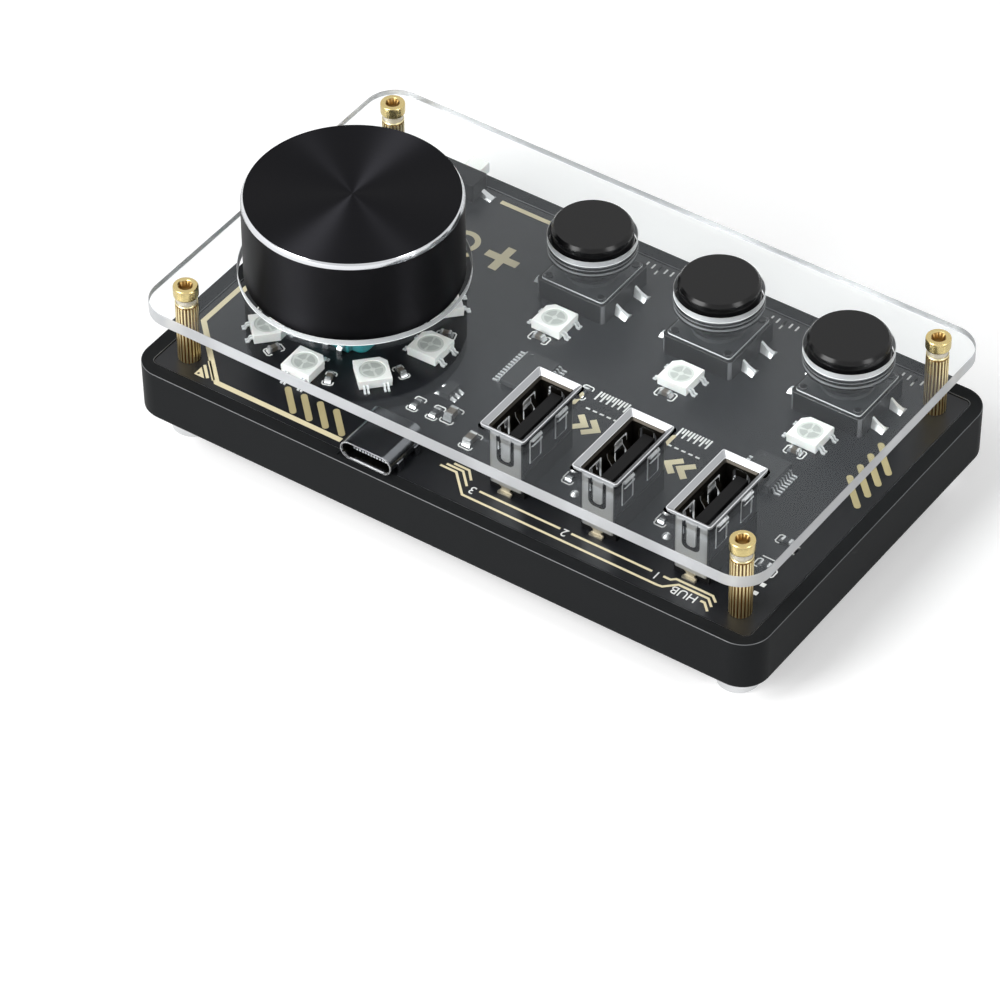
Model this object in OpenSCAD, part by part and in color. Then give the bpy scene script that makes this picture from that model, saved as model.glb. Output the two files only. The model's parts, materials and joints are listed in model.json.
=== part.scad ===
// Macro keypad: a low tray with an open circuit board, a clear plate on four
// fluted standoffs, one push-and-turn knob, three keys, three upright type A ports,
// a type C inlet and a small slide switch.
// Millimetres. +Z is up, +X runs along the long side, -Y is the side with the inlet.
// The origin is the middle of the footprint, at the level the feet stand on.

/* [Base tray] */
// Length of the tray along X
base_l = 108.5; // [106:0.5:114]
// Width of the tray along Y
base_w = 64.5; // [63:0.5:70]
// Height of the tray without its feet
base_h = 8.5; // [8:0.1:11]
// Radius of the tray's upright corners
base_r = 4.4; // [3:0.2:7]
// How much narrower each side is at the bottom
base_draft = 0.1; // [0:0.1:1.2]
// Width of the rim around the circuit board
rim_w = 2.35; // [1.8:0.05:2.6]
// Width of the ledge that carries the circuit board
ledge_w = 1.5; // [1:0.1:2]
// Thickness of the tray's floor
floor_t = 1.8; // [1.2:0.1:2.2]
// Height of the feet below the tray
foot_h = 5; // [3:0.2:7]
// Diameter of a foot
foot_d = 6.3; // [5.5:0.1:7]

/* [Circuit board] */
// Thickness of the circuit board
board_t = 1.6; // [1.2:0.2:2]
// Depth of the board's top face below the rim
board_drop = 0.2; // [0:0.05:0.4]

/* [Posts and plate] */
// Distance between the posts along X
post_dx = 96; // [95:0.5:97]
// Distance between the posts along Y
post_dy = 51.6; // [50:0.1:53]
// Length of a standoff
post_h = 9.7; // [9.5:0.1:10.2]
// Diameter of a standoff
post_d = 3.4; // [3.2:0.1:4]
// Number of flutes around a standoff
flute_count = 20; // [12:1:22]
// Length of the clear plate
plate_l = 106.3; // [104:0.1:107]
// Width of the clear plate
plate_w = 62.9; // [61:0.1:63.5]
// Thickness of the clear plate
plate_t = 2; // [1.5:0.5:3]
// Corner radius of the clear plate
plate_r = 5; // [3.5:0.5:8]

/* [Knob] */
// Position of the knob axis along X
knob_x = -32; // [-33:0.5:-31]
// Position of the knob axis along Y
knob_y = -6.2; // [-8:0.1:-5]
// Diameter of the knob
knob_d = 32.6; // [30:0.2:33]
// Height of the knob's rim above the circuit board
knob_lift = 10.6; // [10.2:0.1:11]
// Height of the knob
knob_h = 14.3; // [13:0.1:15]
// How far the knob can be pressed
knob_travel = 0.5; // [0.3:0.1:0.5]

/* [Keys] */
// Position of the middle key along X
key_x = 15; // [14:0.1:16]
// Position of the keys along Y
key_y = 19.1; // [18.8:0.1:20]
// Distance from one key to the next
key_pitch = 22.2; // [21:0.1:23]
// Diameter of a key cap
cap_d = 12.2; // [11:0.1:12.6]
// Height of a key cap's top above the circuit board
cap_top = 13.4; // [12.4:0.1:13.8]
// Side of a key switch body
key_side = 12; // [11.8:0.1:12.2]
// How far a key can be pressed
key_travel = 0.3; // [0.2:0.05:0.35]

/* [Ports] */
// Position of the middle port along X
port_x = 22.9; // [22:0.1:24]
// Position of the ports along Y
port_y = -17.75; // [-18:0.05:-17]
// Distance from one port to the next
port_pitch = 15.7; // [15:0.1:17]
// Height of a port's mouth above the circuit board
port_h = 12.2; // [12:0.1:12.6]
// Position of the inlet along X
inlet_x = -12.6; // [-13:0.1:-12]
// Position of the inlet's mouth along Y
inlet_mouth_y = -30.9; // [-31.5:0.1:-30.5]

/* [Lights] */
// Side of a light package
led_side = 5; // [4.8:0.1:5.2]
// Height of a light package
led_h = 1.6; // [1.4:0.1:1.8]
// Number of lights around the knob
ring_count = 8; // [6:1:8]
// Radius of the ring of lights
ring_r = 13.2; // [13:0.1:14]
// Turn of the first light from the X axis
ring_turn = 1.2; // [0:0.1:5]
// Position of the key lights along Y
key_led_y = 9.2; // [9:0.1:10]

/* [Slide switch] */
// Position of the slide switch along X
slider_x = -37.5; // [-38:0.1:-37]
// Front face of the slide switch along Y
slider_y = 25.4; // [25:0.1:25.8]
// Travel of the switch lever
slider_travel = 2; // [1.5:0.1:2.5]

/* [Hidden] */
$fn = 64;

eps = 0.01;              // overlap that joins two bodies of one piece
gap = 0.05;              // running clearance of a shaft in its bore
foot_chamfer = 0.35;
foot_hex_af = 2.5;       // hexagon socket in a foot, across its flats
screw_d = 1.95;          // shank of the M2 screws and of the feet's studs
plate_bore = 3;          // screw holes in the clear plate
screw_reach = 4;         // thread engaged in a standoff, from either end
socket_head_d = 3.8;     // cap screw head
socket_head_h = 2;
hex_af = 1.5;            // hexagon socket across its flats
boss_d = 7;
board_gap = 0.1;         // play between the board's edge and the rim

rim_z = foot_h + base_h;
board_z = rim_z - board_drop;           // top face of the circuit board
ledge_z = board_z - board_t;
board_l = base_l - 2 * (rim_w + board_gap);
board_w = base_w - 2 * (rim_w + board_gap);
plate_z = board_z + post_h;             // underside of the clear plate
plate_top = plate_z + plate_t;

hole_clear = 0.95;       // gap between the knob and the plate around it
cap_clear = 0.5;         // gap between a key cap and the plate around it
port_clear = 0.2;        // gap between a port's flange and the plate around it

// knob
knob_r = knob_d / 2;
knob_chamfer = 0.65;     // bright-cut chamfer at both ends
knob_wall = 2.3;
knob_recess = 3;         // depth of the recess under the knob
insert_lift = 2.2;       // the insert starts this far above the knob's lower rim
insert_d = 8.4;
shaft_d = 6;
shaft_flat = 1.5;        // depth of the D flat
shaft_top = 21.5;        // height of the shaft's end above the board
knob_top_wall = 2.2;

// encoder, heights above the board
encoder_l = 11.7;        // along X
encoder_w = 12;          // along Y
encoder_base_h = 4.4;
encoder_frame_t = 0.5;
encoder_h = encoder_base_h + encoder_frame_t;
bushing_d = 7;
bushing_h = 5.6;
well_d = 8.6;            // well in the encoder base that holds the moving pieces
well_floor = 0.8;        // floor left under the moving pieces, also in the keys
pin_pitch = 2.5;

// keys, heights above the board
key_housing_h = 3.4;
key_cover_t = 0.25;
cover_side = 11;
ring_wall = 0.6;         // raised collar round the plunger
key_collar_h = 0.6;
plunger_d = 6.8;
plunger_low = 1.6;
plunger_high = 4.9;
post_side = 3.8;         // square post that carries the cap
post_top = 9.5;
cap_low = 7.6;           // bottom of the cap's flange
cap_flange_h = 1.5;
cap_step_h = 0.7;        // two steps that narrow the cap below its flange
cap_step_in = [0.5, 1.4];
cap_flange_r = 0.65;     // how far the flange stands out
cap_groove = 0.25;       // depth of the groove round the flange
hub_low = 5.4;
rivet_at = 4.6;          // heat-staked studs at the corners
rivet_d = 1.2;

// ports
port_in_l = 12.4;        // free mouth along Y
port_in_w = 5.1;         // free mouth along X
port_wall = 0.35;
port_flare = 0.92;       // how far the mouth flares out
port_skirt = 3.7;        // height of the lower edge of the shell's long walls
port_apron = 1.25;       // height of the lower edge of its short walls
port_leg_w = 2.1;
window_w = 3;            // opening round the spring finger in a short wall
finger_w = 1.8;
port_base_h = 3.6;
tongue_l = 11.1;
tongue_t = 1.9;
tongue_shift = 0.75;     // the tongue sits off the middle
tongue_top = 10.4;
slot_w = 0.35;
contact_ys = [-3.5, -1, 1, 3.5];

// inlet
inlet_w = 8.94;
inlet_h = 3.2;
inlet_len = 8;
inlet_wall = 0.25;
inlet_tongue_w = 6.7;
inlet_tongue_t = 0.7;
inlet_tongue_len = 5.5;
inlet_pitch = 0.5;
inlet_contacts_n = 12;

// slide switch
slider_l = 8.7;
slider_w = 3.8;
slider_h = 3.4;
lever_w = 3.6;
lever_h = 2;
lever_low = 0.9;
lever_tip_y = base_w / 2 - 0.05;
track_l = 6.2;

// small parts: [x, y, turn]
resistor_places = [[-13.8, -16.6, 90], [-10.4, -16.6, 90], [4.8, -0.8, 90], [13.6, -16.9, 90],
    [29.4, -16.9, 90], [46.3, -11.1, 0], [46.4, -16.9, 0]];
capacitor_places = [[-8.1, -15.8, 90], [-2.7, -18.8, 90]];
led_cap_y = 5.5;         // capacitor in front of each key light
ring_cap_turn = 18;      // capacitor beside each light of the ring
ring_cap_r = 13.7;
hub_chip_at = [-3.75, -2.25];
hub_chip_size = [5.3, 7.7, 0.95];
hub_chip_pins = 12;
key_chip_at = [36.2, -1.3];
key_chip_size = [5.3, 6.2, 1.6];
key_chip_pins = 8;
lead_pitch = 0.65;
lead_reach = 1.4;        // how far a chip's leads stand out
lead_exit = 0.45;        // height at which they leave the body, as a part of its height
regulator_at = [-11.2, -11.9];

signs = [-1, 1];

// ---------- shared shapes ----------

// a slab with upright round corners, standing on z = 0
module round_slab(l, w, r, h) {
    translate([-l / 2 + r, -w / 2, 0]) cube([l - 2 * r, w, h]);
    translate([-l / 2, -w / 2 + r, 0]) cube([l, w - 2 * r, h]);
    for (i = signs, j = signs) translate([i * (l / 2 - r), j * (w / 2 - r), 0]) cylinder(r = r, h = h);
}

// a block centred on x and y, standing on z = 0
module block(l, w, h) {
    translate([-l / 2, -w / 2, 0]) cube([l, w, h]);
}

module at_posts() {
    for (i = signs, j = signs) translate([i * post_dx / 2, j * post_dy / 2, 0]) children();
}

function key_at(i) = key_x + (i - 2) * key_pitch;
function port_at(i) = port_x + (2 - i) * port_pitch;

module at_key(i) {
    translate([key_at(i), key_y, board_z]) children();
}

module at_port(i) {
    translate([port_at(i), port_y, board_z]) children();
}

module at_knob() {
    translate([knob_x, knob_y, board_z]) children();
}

module at_ring(turn, r) {
    for (i = [0:ring_count - 1])
        at_knob() rotate([0, 0, ring_turn + turn + i * 360 / ring_count]) translate([r, 0, 0]) children();
}

module at_key_leds() {
    for (i = [1:3]) translate([key_at(i), key_led_y, board_z]) children();
}

// a strip bent to a profile in x and z, its width along y
module bent_strip(profile, width) {
    translate([0, width / 2, 0]) rotate([90, 0, 0]) linear_extrude(width) polygon(profile);
}

// ---------- tray, board, posts, plate ----------

module tray_layer(inset, z) {
    translate([0, 0, z])
        round_slab(base_l - 2 * inset, base_w - 2 * inset, base_r - inset / 2, eps, $fn = 48);
}

module base_tray() {
    edge = 0.35;
    color("#232427") difference() {
        translate([0, 0, foot_h]) hull() {
            tray_layer(base_draft + 0.5, 0);
            tray_layer(base_draft, 0.5);
            tray_layer(0, base_h - edge);
            tray_layer(edge, base_h - eps);
        }
        // pocket for the board, and the space below it
        translate([0, 0, ledge_z]) round_slab(base_l - 2 * rim_w, base_w - 2 * rim_w, 1, base_h);
        difference() {
            translate([0, 0, foot_h + floor_t]) round_slab(base_l - 2 * (rim_w + ledge_w),
                base_w - 2 * (rim_w + ledge_w), 2, ledge_z - foot_h - floor_t + eps);
            at_posts() cylinder(d = boss_d, h = ledge_z);
        }
        at_posts() cylinder(d = screw_d + 0.35, h = rim_z, $fn = 32);
        // the inlet's shell rests in a shallow notch in the rim
        translate([inlet_x - inlet_w / 2 - 0.4, -base_w / 2 - 1, board_z]) cube([inlet_w + 0.8, 5, base_h]);
    }
}

// turned feet, each with a stud that reaches up through the tray and the board into its standoff
module feet() {
    color("#c9cbce") at_posts() difference() {
        union() {
            translate([0, 0, foot_chamfer]) cylinder(d = foot_d, h = foot_h - foot_chamfer);
            cylinder(d1 = foot_d - 2 * foot_chamfer, d2 = foot_d, h = foot_chamfer + eps);
            translate([0, 0, foot_h - 1])
                cylinder(d = screw_d, h = board_z + screw_reach - foot_h + 1, $fn = 32);
        }
        translate([0, 0, -1]) cylinder(d = foot_hex_af / cos(30), h = 3, $fn = 6);
    }
}

module circuit_board() {
    color("#26282b") difference() {
        translate([0, 0, ledge_z]) round_slab(board_l, board_w, 0.9, board_t);
        at_posts() cylinder(d = screw_d + 0.35, h = rim_z + 1, $fn = 32);
    }
}

module standoffs() {
    collar = 0.45;
    groove_r = 0.21;
    color("#b98a45") at_posts() translate([0, 0, board_z]) difference() {
        cylinder(d = post_d, h = post_h);
        translate([0, 0, -1]) cylinder(d = screw_d + 2 * gap, h = post_h + 2, $fn = 32);
        for (k = [0:flute_count - 1])
            rotate([0, 0, k * 360 / flute_count])
                translate([post_d / 2 + 0.06, 0, -1])
                    cylinder(r = groove_r, h = post_h + 1 - collar, $fn = 16);
    }
}

module cap_screws() {
    chamfer = 0.25;
    color("#d8b45a") at_posts() translate([0, 0, plate_top]) difference() {
        union() {
            cylinder(d = socket_head_d, h = socket_head_h - chamfer);
            translate([0, 0, socket_head_h - chamfer])
                cylinder(d1 = socket_head_d, d2 = socket_head_d - 2 * chamfer, h = chamfer);
            translate([0, 0, -plate_t - screw_reach])
                cylinder(d = screw_d, h = plate_t + screw_reach + eps, $fn = 32);
        }
        translate([0, 0, socket_head_h - 1]) cylinder(d = hex_af / cos(30), h = 2, $fn = 6);
    }
}

module top_plate() {
    flange_l = port_in_l + 2 * (port_wall + port_flare + port_clear);
    flange_w = port_in_w + 2 * (port_wall + port_flare + port_clear);
    color("#e6f0f2", 0.3) difference() {
        translate([0, 0, plate_z]) round_slab(plate_l, plate_w, plate_r, plate_t);
        at_posts() cylinder(d = plate_bore, h = plate_top + 1, $fn = 32);
        at_knob() cylinder(r = knob_r + hole_clear, h = post_h + plate_t + 1, $fn = 128);
        for (i = [1:3]) {
            at_key(i) cylinder(r = cap_d / 2 + cap_clear, h = post_h + plate_t + 1);
            at_port(i) block(flange_w, flange_l, post_h + plate_t + 1);
        }
    }
}

// ---------- upright ports ----------

module port_funnel(grow, low, high, flare) {
    hull() {
        translate([0, 0, low]) block(port_in_w + 2 * grow, port_in_l + 2 * grow, eps);
        translate([0, 0, high - eps])
            block(port_in_w + 2 * (grow + flare), port_in_l + 2 * (grow + flare), eps);
    }
}

// the spring fingers in both short walls, each cut free on three sides
module finger_slots(low, high) {
    slot = (window_w - finger_w) / 2;
    for (j = signs) translate([j * (window_w - slot) / 2, 0, low]) block(slot, 20, high - low);
    translate([0, 0, low]) block(window_w, 20, slot);
}

module port_shell(i) {
    throat = port_h - port_flare;
    out_w = port_in_w + 2 * port_wall;
    out_l = port_in_l + 2 * port_wall;
    color("#b9bcc0") at_port(i) {
        difference() {
            union() {
                translate([0, 0, port_skirt]) block(out_w, out_l, throat - port_skirt + eps);
                translate([0, 0, port_apron]) block(out_w, out_l, port_skirt - port_apron + eps);
                port_funnel(port_wall, throat, port_h, port_flare);
            }
            translate([0, 0, -1]) block(port_in_w, port_in_l, port_h + 2);
            translate([0, 0, -1]) block(20, port_in_l, port_skirt + 1);
            port_funnel(0, throat, port_h + eps, port_flare);
            finger_slots(4.5, 10.7);
            for (j = signs) translate([0, j * 3.2, 0]) {
                for (e = signs) translate([0, e * 1.35, 4.6]) block(20, slot_w, 5.2);
                translate([0, 0, 9.5]) block(20, 2.7, slot_w);
            }
        }
        // tips of the side fingers, bent outwards
        for (j = signs, e = signs) translate([e * (out_w / 2 - 0.12), j * 3.2, 8.5]) rotate([0, e * 24, 0])
            block(0.24, 2.2, 1.1);
        // solder legs at both ends
        for (e = signs) scale([1, e, 1]) translate([-port_leg_w / 2, -out_l / 2, 0]) {
            cube([port_leg_w, 0.3, port_apron + 0.5]);
            translate([0, -0.5, 0]) cube([port_leg_w, 0.6, 0.3]);
        }
    }
}

module port_tongue(i) {
    color("#17181a") at_port(i) {
        block(port_in_w + 2 * port_wall + 0.2, port_in_l - 2 * gap, port_skirt - gap);
        translate([tongue_shift, 0, port_base_h]) block(tongue_t, tongue_l, tongue_top - port_base_h);
    }
}

module port_contacts() {
    low = port_base_h + 0.46;
    color("#d9b65c") for (i = [1:3]) at_port(i)
        for (y = contact_ys) translate([tongue_shift - tongue_t / 2 - 0.1, y, low])
            block(0.2, 1, tongue_top - low - 0.6);
}

// ---------- inlet ----------

// a flat-sided tube with round ends, along +Y from the mouth
module inlet_tube(grow, len) {
    h = inlet_h + 2 * grow;
    span = inlet_w - inlet_h;
    rotate([-90, 0, 0]) {
        translate([-span / 2, -h / 2, 0]) cube([span, h, len]);
        for (i = signs) translate([i * span / 2, 0, 0]) cylinder(d = h, h = len, $fn = 48);
    }
}

module at_inlet() {
    translate([inlet_x, inlet_mouth_y, board_z + inlet_h / 2]) children();
}

module inlet_shell() {
    color("#8d9095") at_inlet() {
        difference() {
            inlet_tube(0, inlet_len);
            translate([0, -1, 0]) inlet_tube(-inlet_wall, inlet_len + 1 - inlet_wall);
        }
        // solder tabs along both sides
        for (i = signs, y = [2.2, 6.4]) translate([i * (inlet_w / 2 + 0.1), y, -inlet_h / 2])
            block(0.3, 1.3, inlet_h / 2 + 0.2);
    }
}

module inlet_tongue() {
    color("#1b1c1e") at_inlet() {
        translate([0, inlet_len - inlet_wall - gap - (inlet_tongue_len + 1) / 2, -inlet_tongue_t / 2])
            block(inlet_tongue_w, inlet_tongue_len + 1, inlet_tongue_t);
        translate([0, inlet_len - inlet_wall - gap - 1.4, 0]) inlet_tube(-inlet_wall - gap, 1.4);
    }
}

module inlet_contacts() {
    span = (inlet_contacts_n - 1) * inlet_pitch;
    len = inlet_tongue_len - 1.3;
    y0 = inlet_len - inlet_wall - gap - inlet_tongue_len - 0.7;
    color("#d9b65c") at_inlet()
        for (k = [0:inlet_contacts_n - 1], j = signs)
            translate([-span / 2 + k * inlet_pitch - 0.13, y0, j * (inlet_tongue_t / 2 + 0.05) - 0.05])
                cube([0.26, len, 0.1]);
}

// ---------- keys ----------

module key_housing(i) {
    color("#1d1e20") at_key(i) {
        difference() {
            round_slab(key_side, key_side, 0.7, key_housing_h, $fn = 32);
            translate([0, 0, well_floor]) cylinder(d = plunger_d + 0.8, h = key_housing_h);
        }
        for (a = signs, b = signs) translate([a * rivet_at, b * rivet_at, key_housing_h - eps])
            cylinder(d = rivet_d, h = key_cover_t + 0.25, $fn = 24);
    }
}

module key_cover(i) {
    bore = plunger_d + 4 * gap;
    color("#3a3c3f") at_key(i) translate([0, 0, key_housing_h]) difference() {
        union() {
            round_slab(cover_side, cover_side, 0.6, key_cover_t, $fn = 32);
            cylinder(d = bore + 2 * ring_wall, h = key_cover_t + key_collar_h);
        }
        translate([0, 0, -1]) cylinder(d = bore, h = 3);
        for (a = signs, b = signs) translate([a * rivet_at, b * rivet_at, -1])
            cylinder(d = rivet_d + 0.1, h = 3, $fn = 24);
    }
}

module key_domes() {
    color("#c9cbce") for (i = [1:3]) at_key(i) translate([0, 0, well_floor]) {
        cylinder(d = 6.6, h = 0.12);
        cylinder(d1 = 5.8, d2 = 2.4, h = 0.38);
    }
}

module key_legs() {
    t = 0.3;
    x0 = key_side / 2;
    profile = [[x0, 1.5], [x0 + 0.5, 1.5], [x0 + 1.4, t], [x0 + 2.2, t], [x0 + 2.2, 0],
        [x0 + 1.2, 0], [x0 + 0.35, 1.2], [x0, 1.2]];
    color("#d6d8da") for (i = [1:3]) at_key(i)
        for (a = [0, 180], y = [-2.5, 2.5]) rotate([0, 0, a]) translate([0, y, 0]) bent_strip(profile, 1.3);
}

module key_plunger(i) {
    color("#1a1b1d") at_key(i) {
        translate([0, 0, plunger_low]) cylinder(d = plunger_d, h = plunger_high - plunger_low);
        translate([0, 0, plunger_high - eps]) block(post_side, post_side, post_top - plunger_high);
    }
}

module key_cap(i) {
    r = cap_d / 2;
    hub_r = 3.2;
    step_1 = cap_low - cap_step_h;
    step_2 = step_1 - cap_step_h;
    rim = r + cap_flange_r;
    groove = cap_low + 0.65;
    color("#1b1b1c") at_key(i) difference() {
        rotate_extrude($fn = 96) polygon([[0, hub_low], [hub_r, hub_low], [hub_r, step_2],
            [r - cap_step_in[1], step_2], [r - cap_step_in[1], step_1], [r - cap_step_in[0], step_1],
            [r - cap_step_in[0], cap_low], [rim, cap_low], [rim, groove - 0.15], [rim - cap_groove, groove],
            [rim - cap_groove, groove + 0.2], [rim, groove + 0.35], [rim, cap_low + cap_flange_h],
            [r, cap_low + cap_flange_h], [r, cap_top - 1.1], [r - 0.32, cap_top - 0.32], [r - 1.1, cap_top],
            [0, cap_top]]);
        translate([0, 0, hub_low - 1])
            block(post_side + 2 * gap, post_side + 2 * gap, post_top - hub_low + 1 + gap);
    }
}

// ---------- encoder and knob ----------

module encoder_base() {
    color("#2f8f93") at_knob() difference() {
        union() {
            round_slab(encoder_l - 0.4, encoder_w, 1.4, encoder_base_h, $fn = 32);
            // shelf that carries the three signal pins
            translate([0, -encoder_w / 2 - 0.4, 0]) block(7, 1, 1.6);
        }
        translate([0, 0, well_floor]) cylinder(d = well_d, h = encoder_base_h);
    }
}

module encoder_frame() {
    half = encoder_l / 2;
    color("#c4c6c9") at_knob() {
        difference() {
            translate([0, 0, encoder_base_h]) block(encoder_l, encoder_w - 0.6, encoder_frame_t);
            translate([0, 0, encoder_base_h - 1]) cylinder(d = bushing_d - 0.6 + 2 * gap, h = 3);
        }
        // legs folded down over both sides
        for (i = signs) translate([i * (half + 0.1), 0, 0]) block(0.4, 4.4, encoder_base_h + encoder_frame_t);
    }
}

module encoder_bushing() {
    low = encoder_base_h - 0.4;
    top = encoder_h + bushing_h;
    color("#d0d1d3") at_knob() difference() {
        union() {
            translate([0, 0, low]) cylinder(d = bushing_d - 0.6, h = encoder_h - low + eps);
            translate([0, 0, encoder_h]) cylinder(d = bushing_d, h = bushing_h - 0.4);
            translate([0, 0, top - 0.4 - eps]) cylinder(d1 = bushing_d, d2 = bushing_d - 0.8, h = 0.4 + eps);
        }
        translate([0, 0, low - 1]) cylinder(d = shaft_d + 2 * gap, h = bushing_h + 4);
    }
}

module encoder_pins() {
    t = 0.3;
    out = encoder_w / 2 + 0.9;
    profile = [[out, 1.3], [out + 0.6, 1.3], [out + 1, 0.9], [out + 1, 0], [out + 0.7, 0],
        [out + 0.7, 0.8], [out + 0.5, 1], [out, 1]];
    color("#dcdee0") at_knob() {
        for (k = [-1:1]) rotate([0, 0, -90]) translate([0, k * pin_pitch, 0]) bent_strip(profile, 0.8);
        for (k = signs) rotate([0, 0, 90]) translate([-0.9, k * pin_pitch, 0]) bent_strip(profile, 0.8);
    }
}

module encoder_dome() {
    color("#c9cbce") at_knob() translate([0, 0, well_floor]) {
        cylinder(d = 6.2, h = 0.12);
        cylinder(d1 = 5.4, d2 = 2, h = 0.35);
    }
}

module encoder_push_pin() {
    low = well_floor + 0.4 + knob_travel;
    color("#e8e6df") at_knob() {
        translate([0, 0, low]) cylinder(d = 2.6, h = 0.5);
        translate([0, 0, low + 0.5 - eps]) cylinder(d = 5, h = 0.4);
    }
}

module encoder_shaft() {
    low = well_floor + 0.4 + knob_travel + 0.9 + gap;
    flat_low = encoder_h + bushing_h + 1.2;
    color("#b7babd") at_knob() difference() {
        union() {
            translate([0, 0, low]) cylinder(d = shaft_d, h = shaft_top - low - 0.5);
            translate([0, 0, shaft_top - 0.5 - eps]) cylinder(d1 = shaft_d, d2 = shaft_d - 1, h = 0.5 + eps);
        }
        translate([shaft_d / 2 - shaft_flat + 5, 0, flat_low]) block(10, 10, shaft_top);
    }
}

module encoder_disc() {
    low = well_floor + 0.4 + knob_travel + 0.9 + gap;
    color("#caa24a") at_knob() difference() {
        translate([0, 0, low]) cylinder(d = well_d - 0.6, h = 0.6);
        translate([0, 0, low - 1]) cylinder(d = shaft_d + 2 * gap, h = 3);
        for (k = [0:9]) rotate([0, 0, k * 36]) translate([well_d / 2 - 0.3, 0, low - 1])
            cylinder(d = 0.7, h = 3, $fn = 16);
    }
}

module knob_insert() {
    low = knob_lift + insert_lift;
    bore_r = shaft_d / 2 + gap;
    color("#222325") at_knob() difference() {
        translate([0, 0, low]) cylinder(d = insert_d, h = knob_lift + knob_h - knob_top_wall - low);
        translate([0, 0, low - 1]) intersection() {
            cylinder(r = bore_r, h = shaft_top - low + 1.1);
            translate([-bore_r, -bore_r, 0]) cube([bore_r + shaft_d / 2 - shaft_flat + gap, 2 * bore_r, 20]);
        }
    }
}

module knob() {
    top = knob_lift + knob_h;
    c = knob_chamfer;
    color("#1f2022") at_knob() difference() {
        rotate_extrude($fn = 128) polygon([[0, knob_lift], [knob_r - c, knob_lift],
            [knob_r, knob_lift + c], [knob_r, top - c], [knob_r - c, top], [0, top]]);
        translate([0, 0, knob_lift - 1]) cylinder(r = knob_r - knob_wall, h = knob_recess + 1, $fn = 96);
        translate([0, 0, knob_lift - 1]) cylinder(d = insert_d, h = knob_h - knob_top_wall + 1);
    }
}

// ---------- slide switch ----------

module at_slider() {
    translate([slider_x, slider_y, board_z]) children();
}

module slider_housing() {
    color("#3b3d3f") at_slider() difference() {
        translate([-slider_l / 2, 0, 0]) cube([slider_l, slider_w, slider_h]);
        // track, open to the back
        translate([-track_l / 2, 0.9, lever_low - 0.1]) cube([track_l, slider_w, lever_h + 0.2]);
    }
}

module slider_legs() {
    profile = [[0, 1], [0.4, 1], [1.1, 0.25], [1.9, 0.25], [1.9, 0], [1, 0], [0.3, 0.75], [0, 0.75]];
    color("#d6d8da") at_slider() {
        for (a = signs) scale([a, 1, 1]) translate([slider_l / 2, slider_w - 1.2, 0]) bent_strip(profile, 1.8);
        for (k = [-1:1]) translate([k * 2.6, 0, 0]) rotate([0, 0, -90]) bent_strip(profile, 0.8);
    }
}

module slider_lever() {
    color("#e9e9e4") at_slider() translate([slider_travel / 2 + 0.2, 0, lever_low]) {
        translate([-lever_w / 2, 1.1, 0]) cube([lever_w, slider_w - 1.1 + eps, lever_h]);
        translate([-lever_w / 2 + 0.3, slider_w, 0.1])
            cube([lever_w - 0.6, lever_tip_y - slider_y - slider_w, lever_h - 0.2]);
    }
}

// ---------- lights ----------

module led_body() {
    difference() {
        translate([0, 0, 0.05]) linear_extrude(led_h - 0.05) polygon([[-led_side / 2, -led_side / 2],
            [led_side / 2, -led_side / 2], [led_side / 2, led_side / 2 - 0.7], [led_side / 2 - 0.7, led_side / 2],
            [-led_side / 2, led_side / 2]]);
        translate([0, 0, led_h - 0.45]) cylinder(d = 3.9, h = 1, $fn = 40);
    }
}

module led_lens() {
    translate([0, 0, led_h - 0.45]) cylinder(d = 3.9 - 2 * gap, h = 0.4, $fn = 40);
}

module led_lead_set() {
    s = led_side / 2;
    profile = [[s, 0.75], [s + 0.35, 0.75], [s + 0.65, 0.2], [s + 1.15, 0.2], [s + 1.15, 0], [s + 0.5, 0],
        [s + 0.25, 0.6], [s, 0.6]];
    for (a = [0, 180], y = [-1.5, 1.5]) rotate([0, 0, a]) translate([0, y, 0]) bent_strip(profile, 0.9);
}

module ring_led_bodies() {
    color("#f1f1ee") at_ring(0, ring_r) led_body();
}

module ring_led_lenses() {
    color("#dfe3dc", 0.6) at_ring(0, ring_r) led_lens();
}

module key_led_bodies() {
    color("#f4f4f2") at_key_leds() led_body();
}

module key_led_lenses() {
    color("#eceee8", 0.6) at_key_leds() led_lens();
}

module led_leads() {
    color("#d9dbdd") {
        at_ring(0, ring_r) led_lead_set();
        at_key_leds() led_lead_set();
    }
}

// ---------- chips and small parts ----------

module chip_body(place, size) {
    translate([place[0], place[1], board_z + 0.1]) difference() {
        block(size[0], size[1], size[2] - 0.1);
        translate([-size[0] / 2 + 0.9, size[1] / 2 - 0.9, size[2] - 0.25]) cylinder(d = 0.8, h = 1, $fn = 24);
    }
}

module chip_lead_rows(place, size, count) {
    x0 = size[0] / 2;
    z0 = size[2] * lead_exit;
    profile = [[x0, z0 + 0.2], [x0 + 0.35, z0 + 0.2], [x0 + 0.6, 0.2], [x0 + lead_reach, 0.2], [x0 + lead_reach, 0],
        [x0 + 0.42, 0], [x0 + 0.2, z0], [x0, z0]];
    translate([place[0], place[1], board_z])
        for (a = [0, 180], k = [0:count - 1]) rotate([0, 0, a])
            translate([0, (k - (count - 1) / 2) * lead_pitch, 0]) bent_strip(profile, 0.32);
}

module hub_chip() {
    color("#2b2c2e") chip_body(hub_chip_at, hub_chip_size);
}

module key_chip() {
    color("#2b2c2e") chip_body(key_chip_at, key_chip_size);
}

module chip_leads() {
    color("#e2e4e6") {
        chip_lead_rows(hub_chip_at, hub_chip_size, hub_chip_pins);
        chip_lead_rows(key_chip_at, key_chip_size, key_chip_pins);
    }
}

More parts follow.
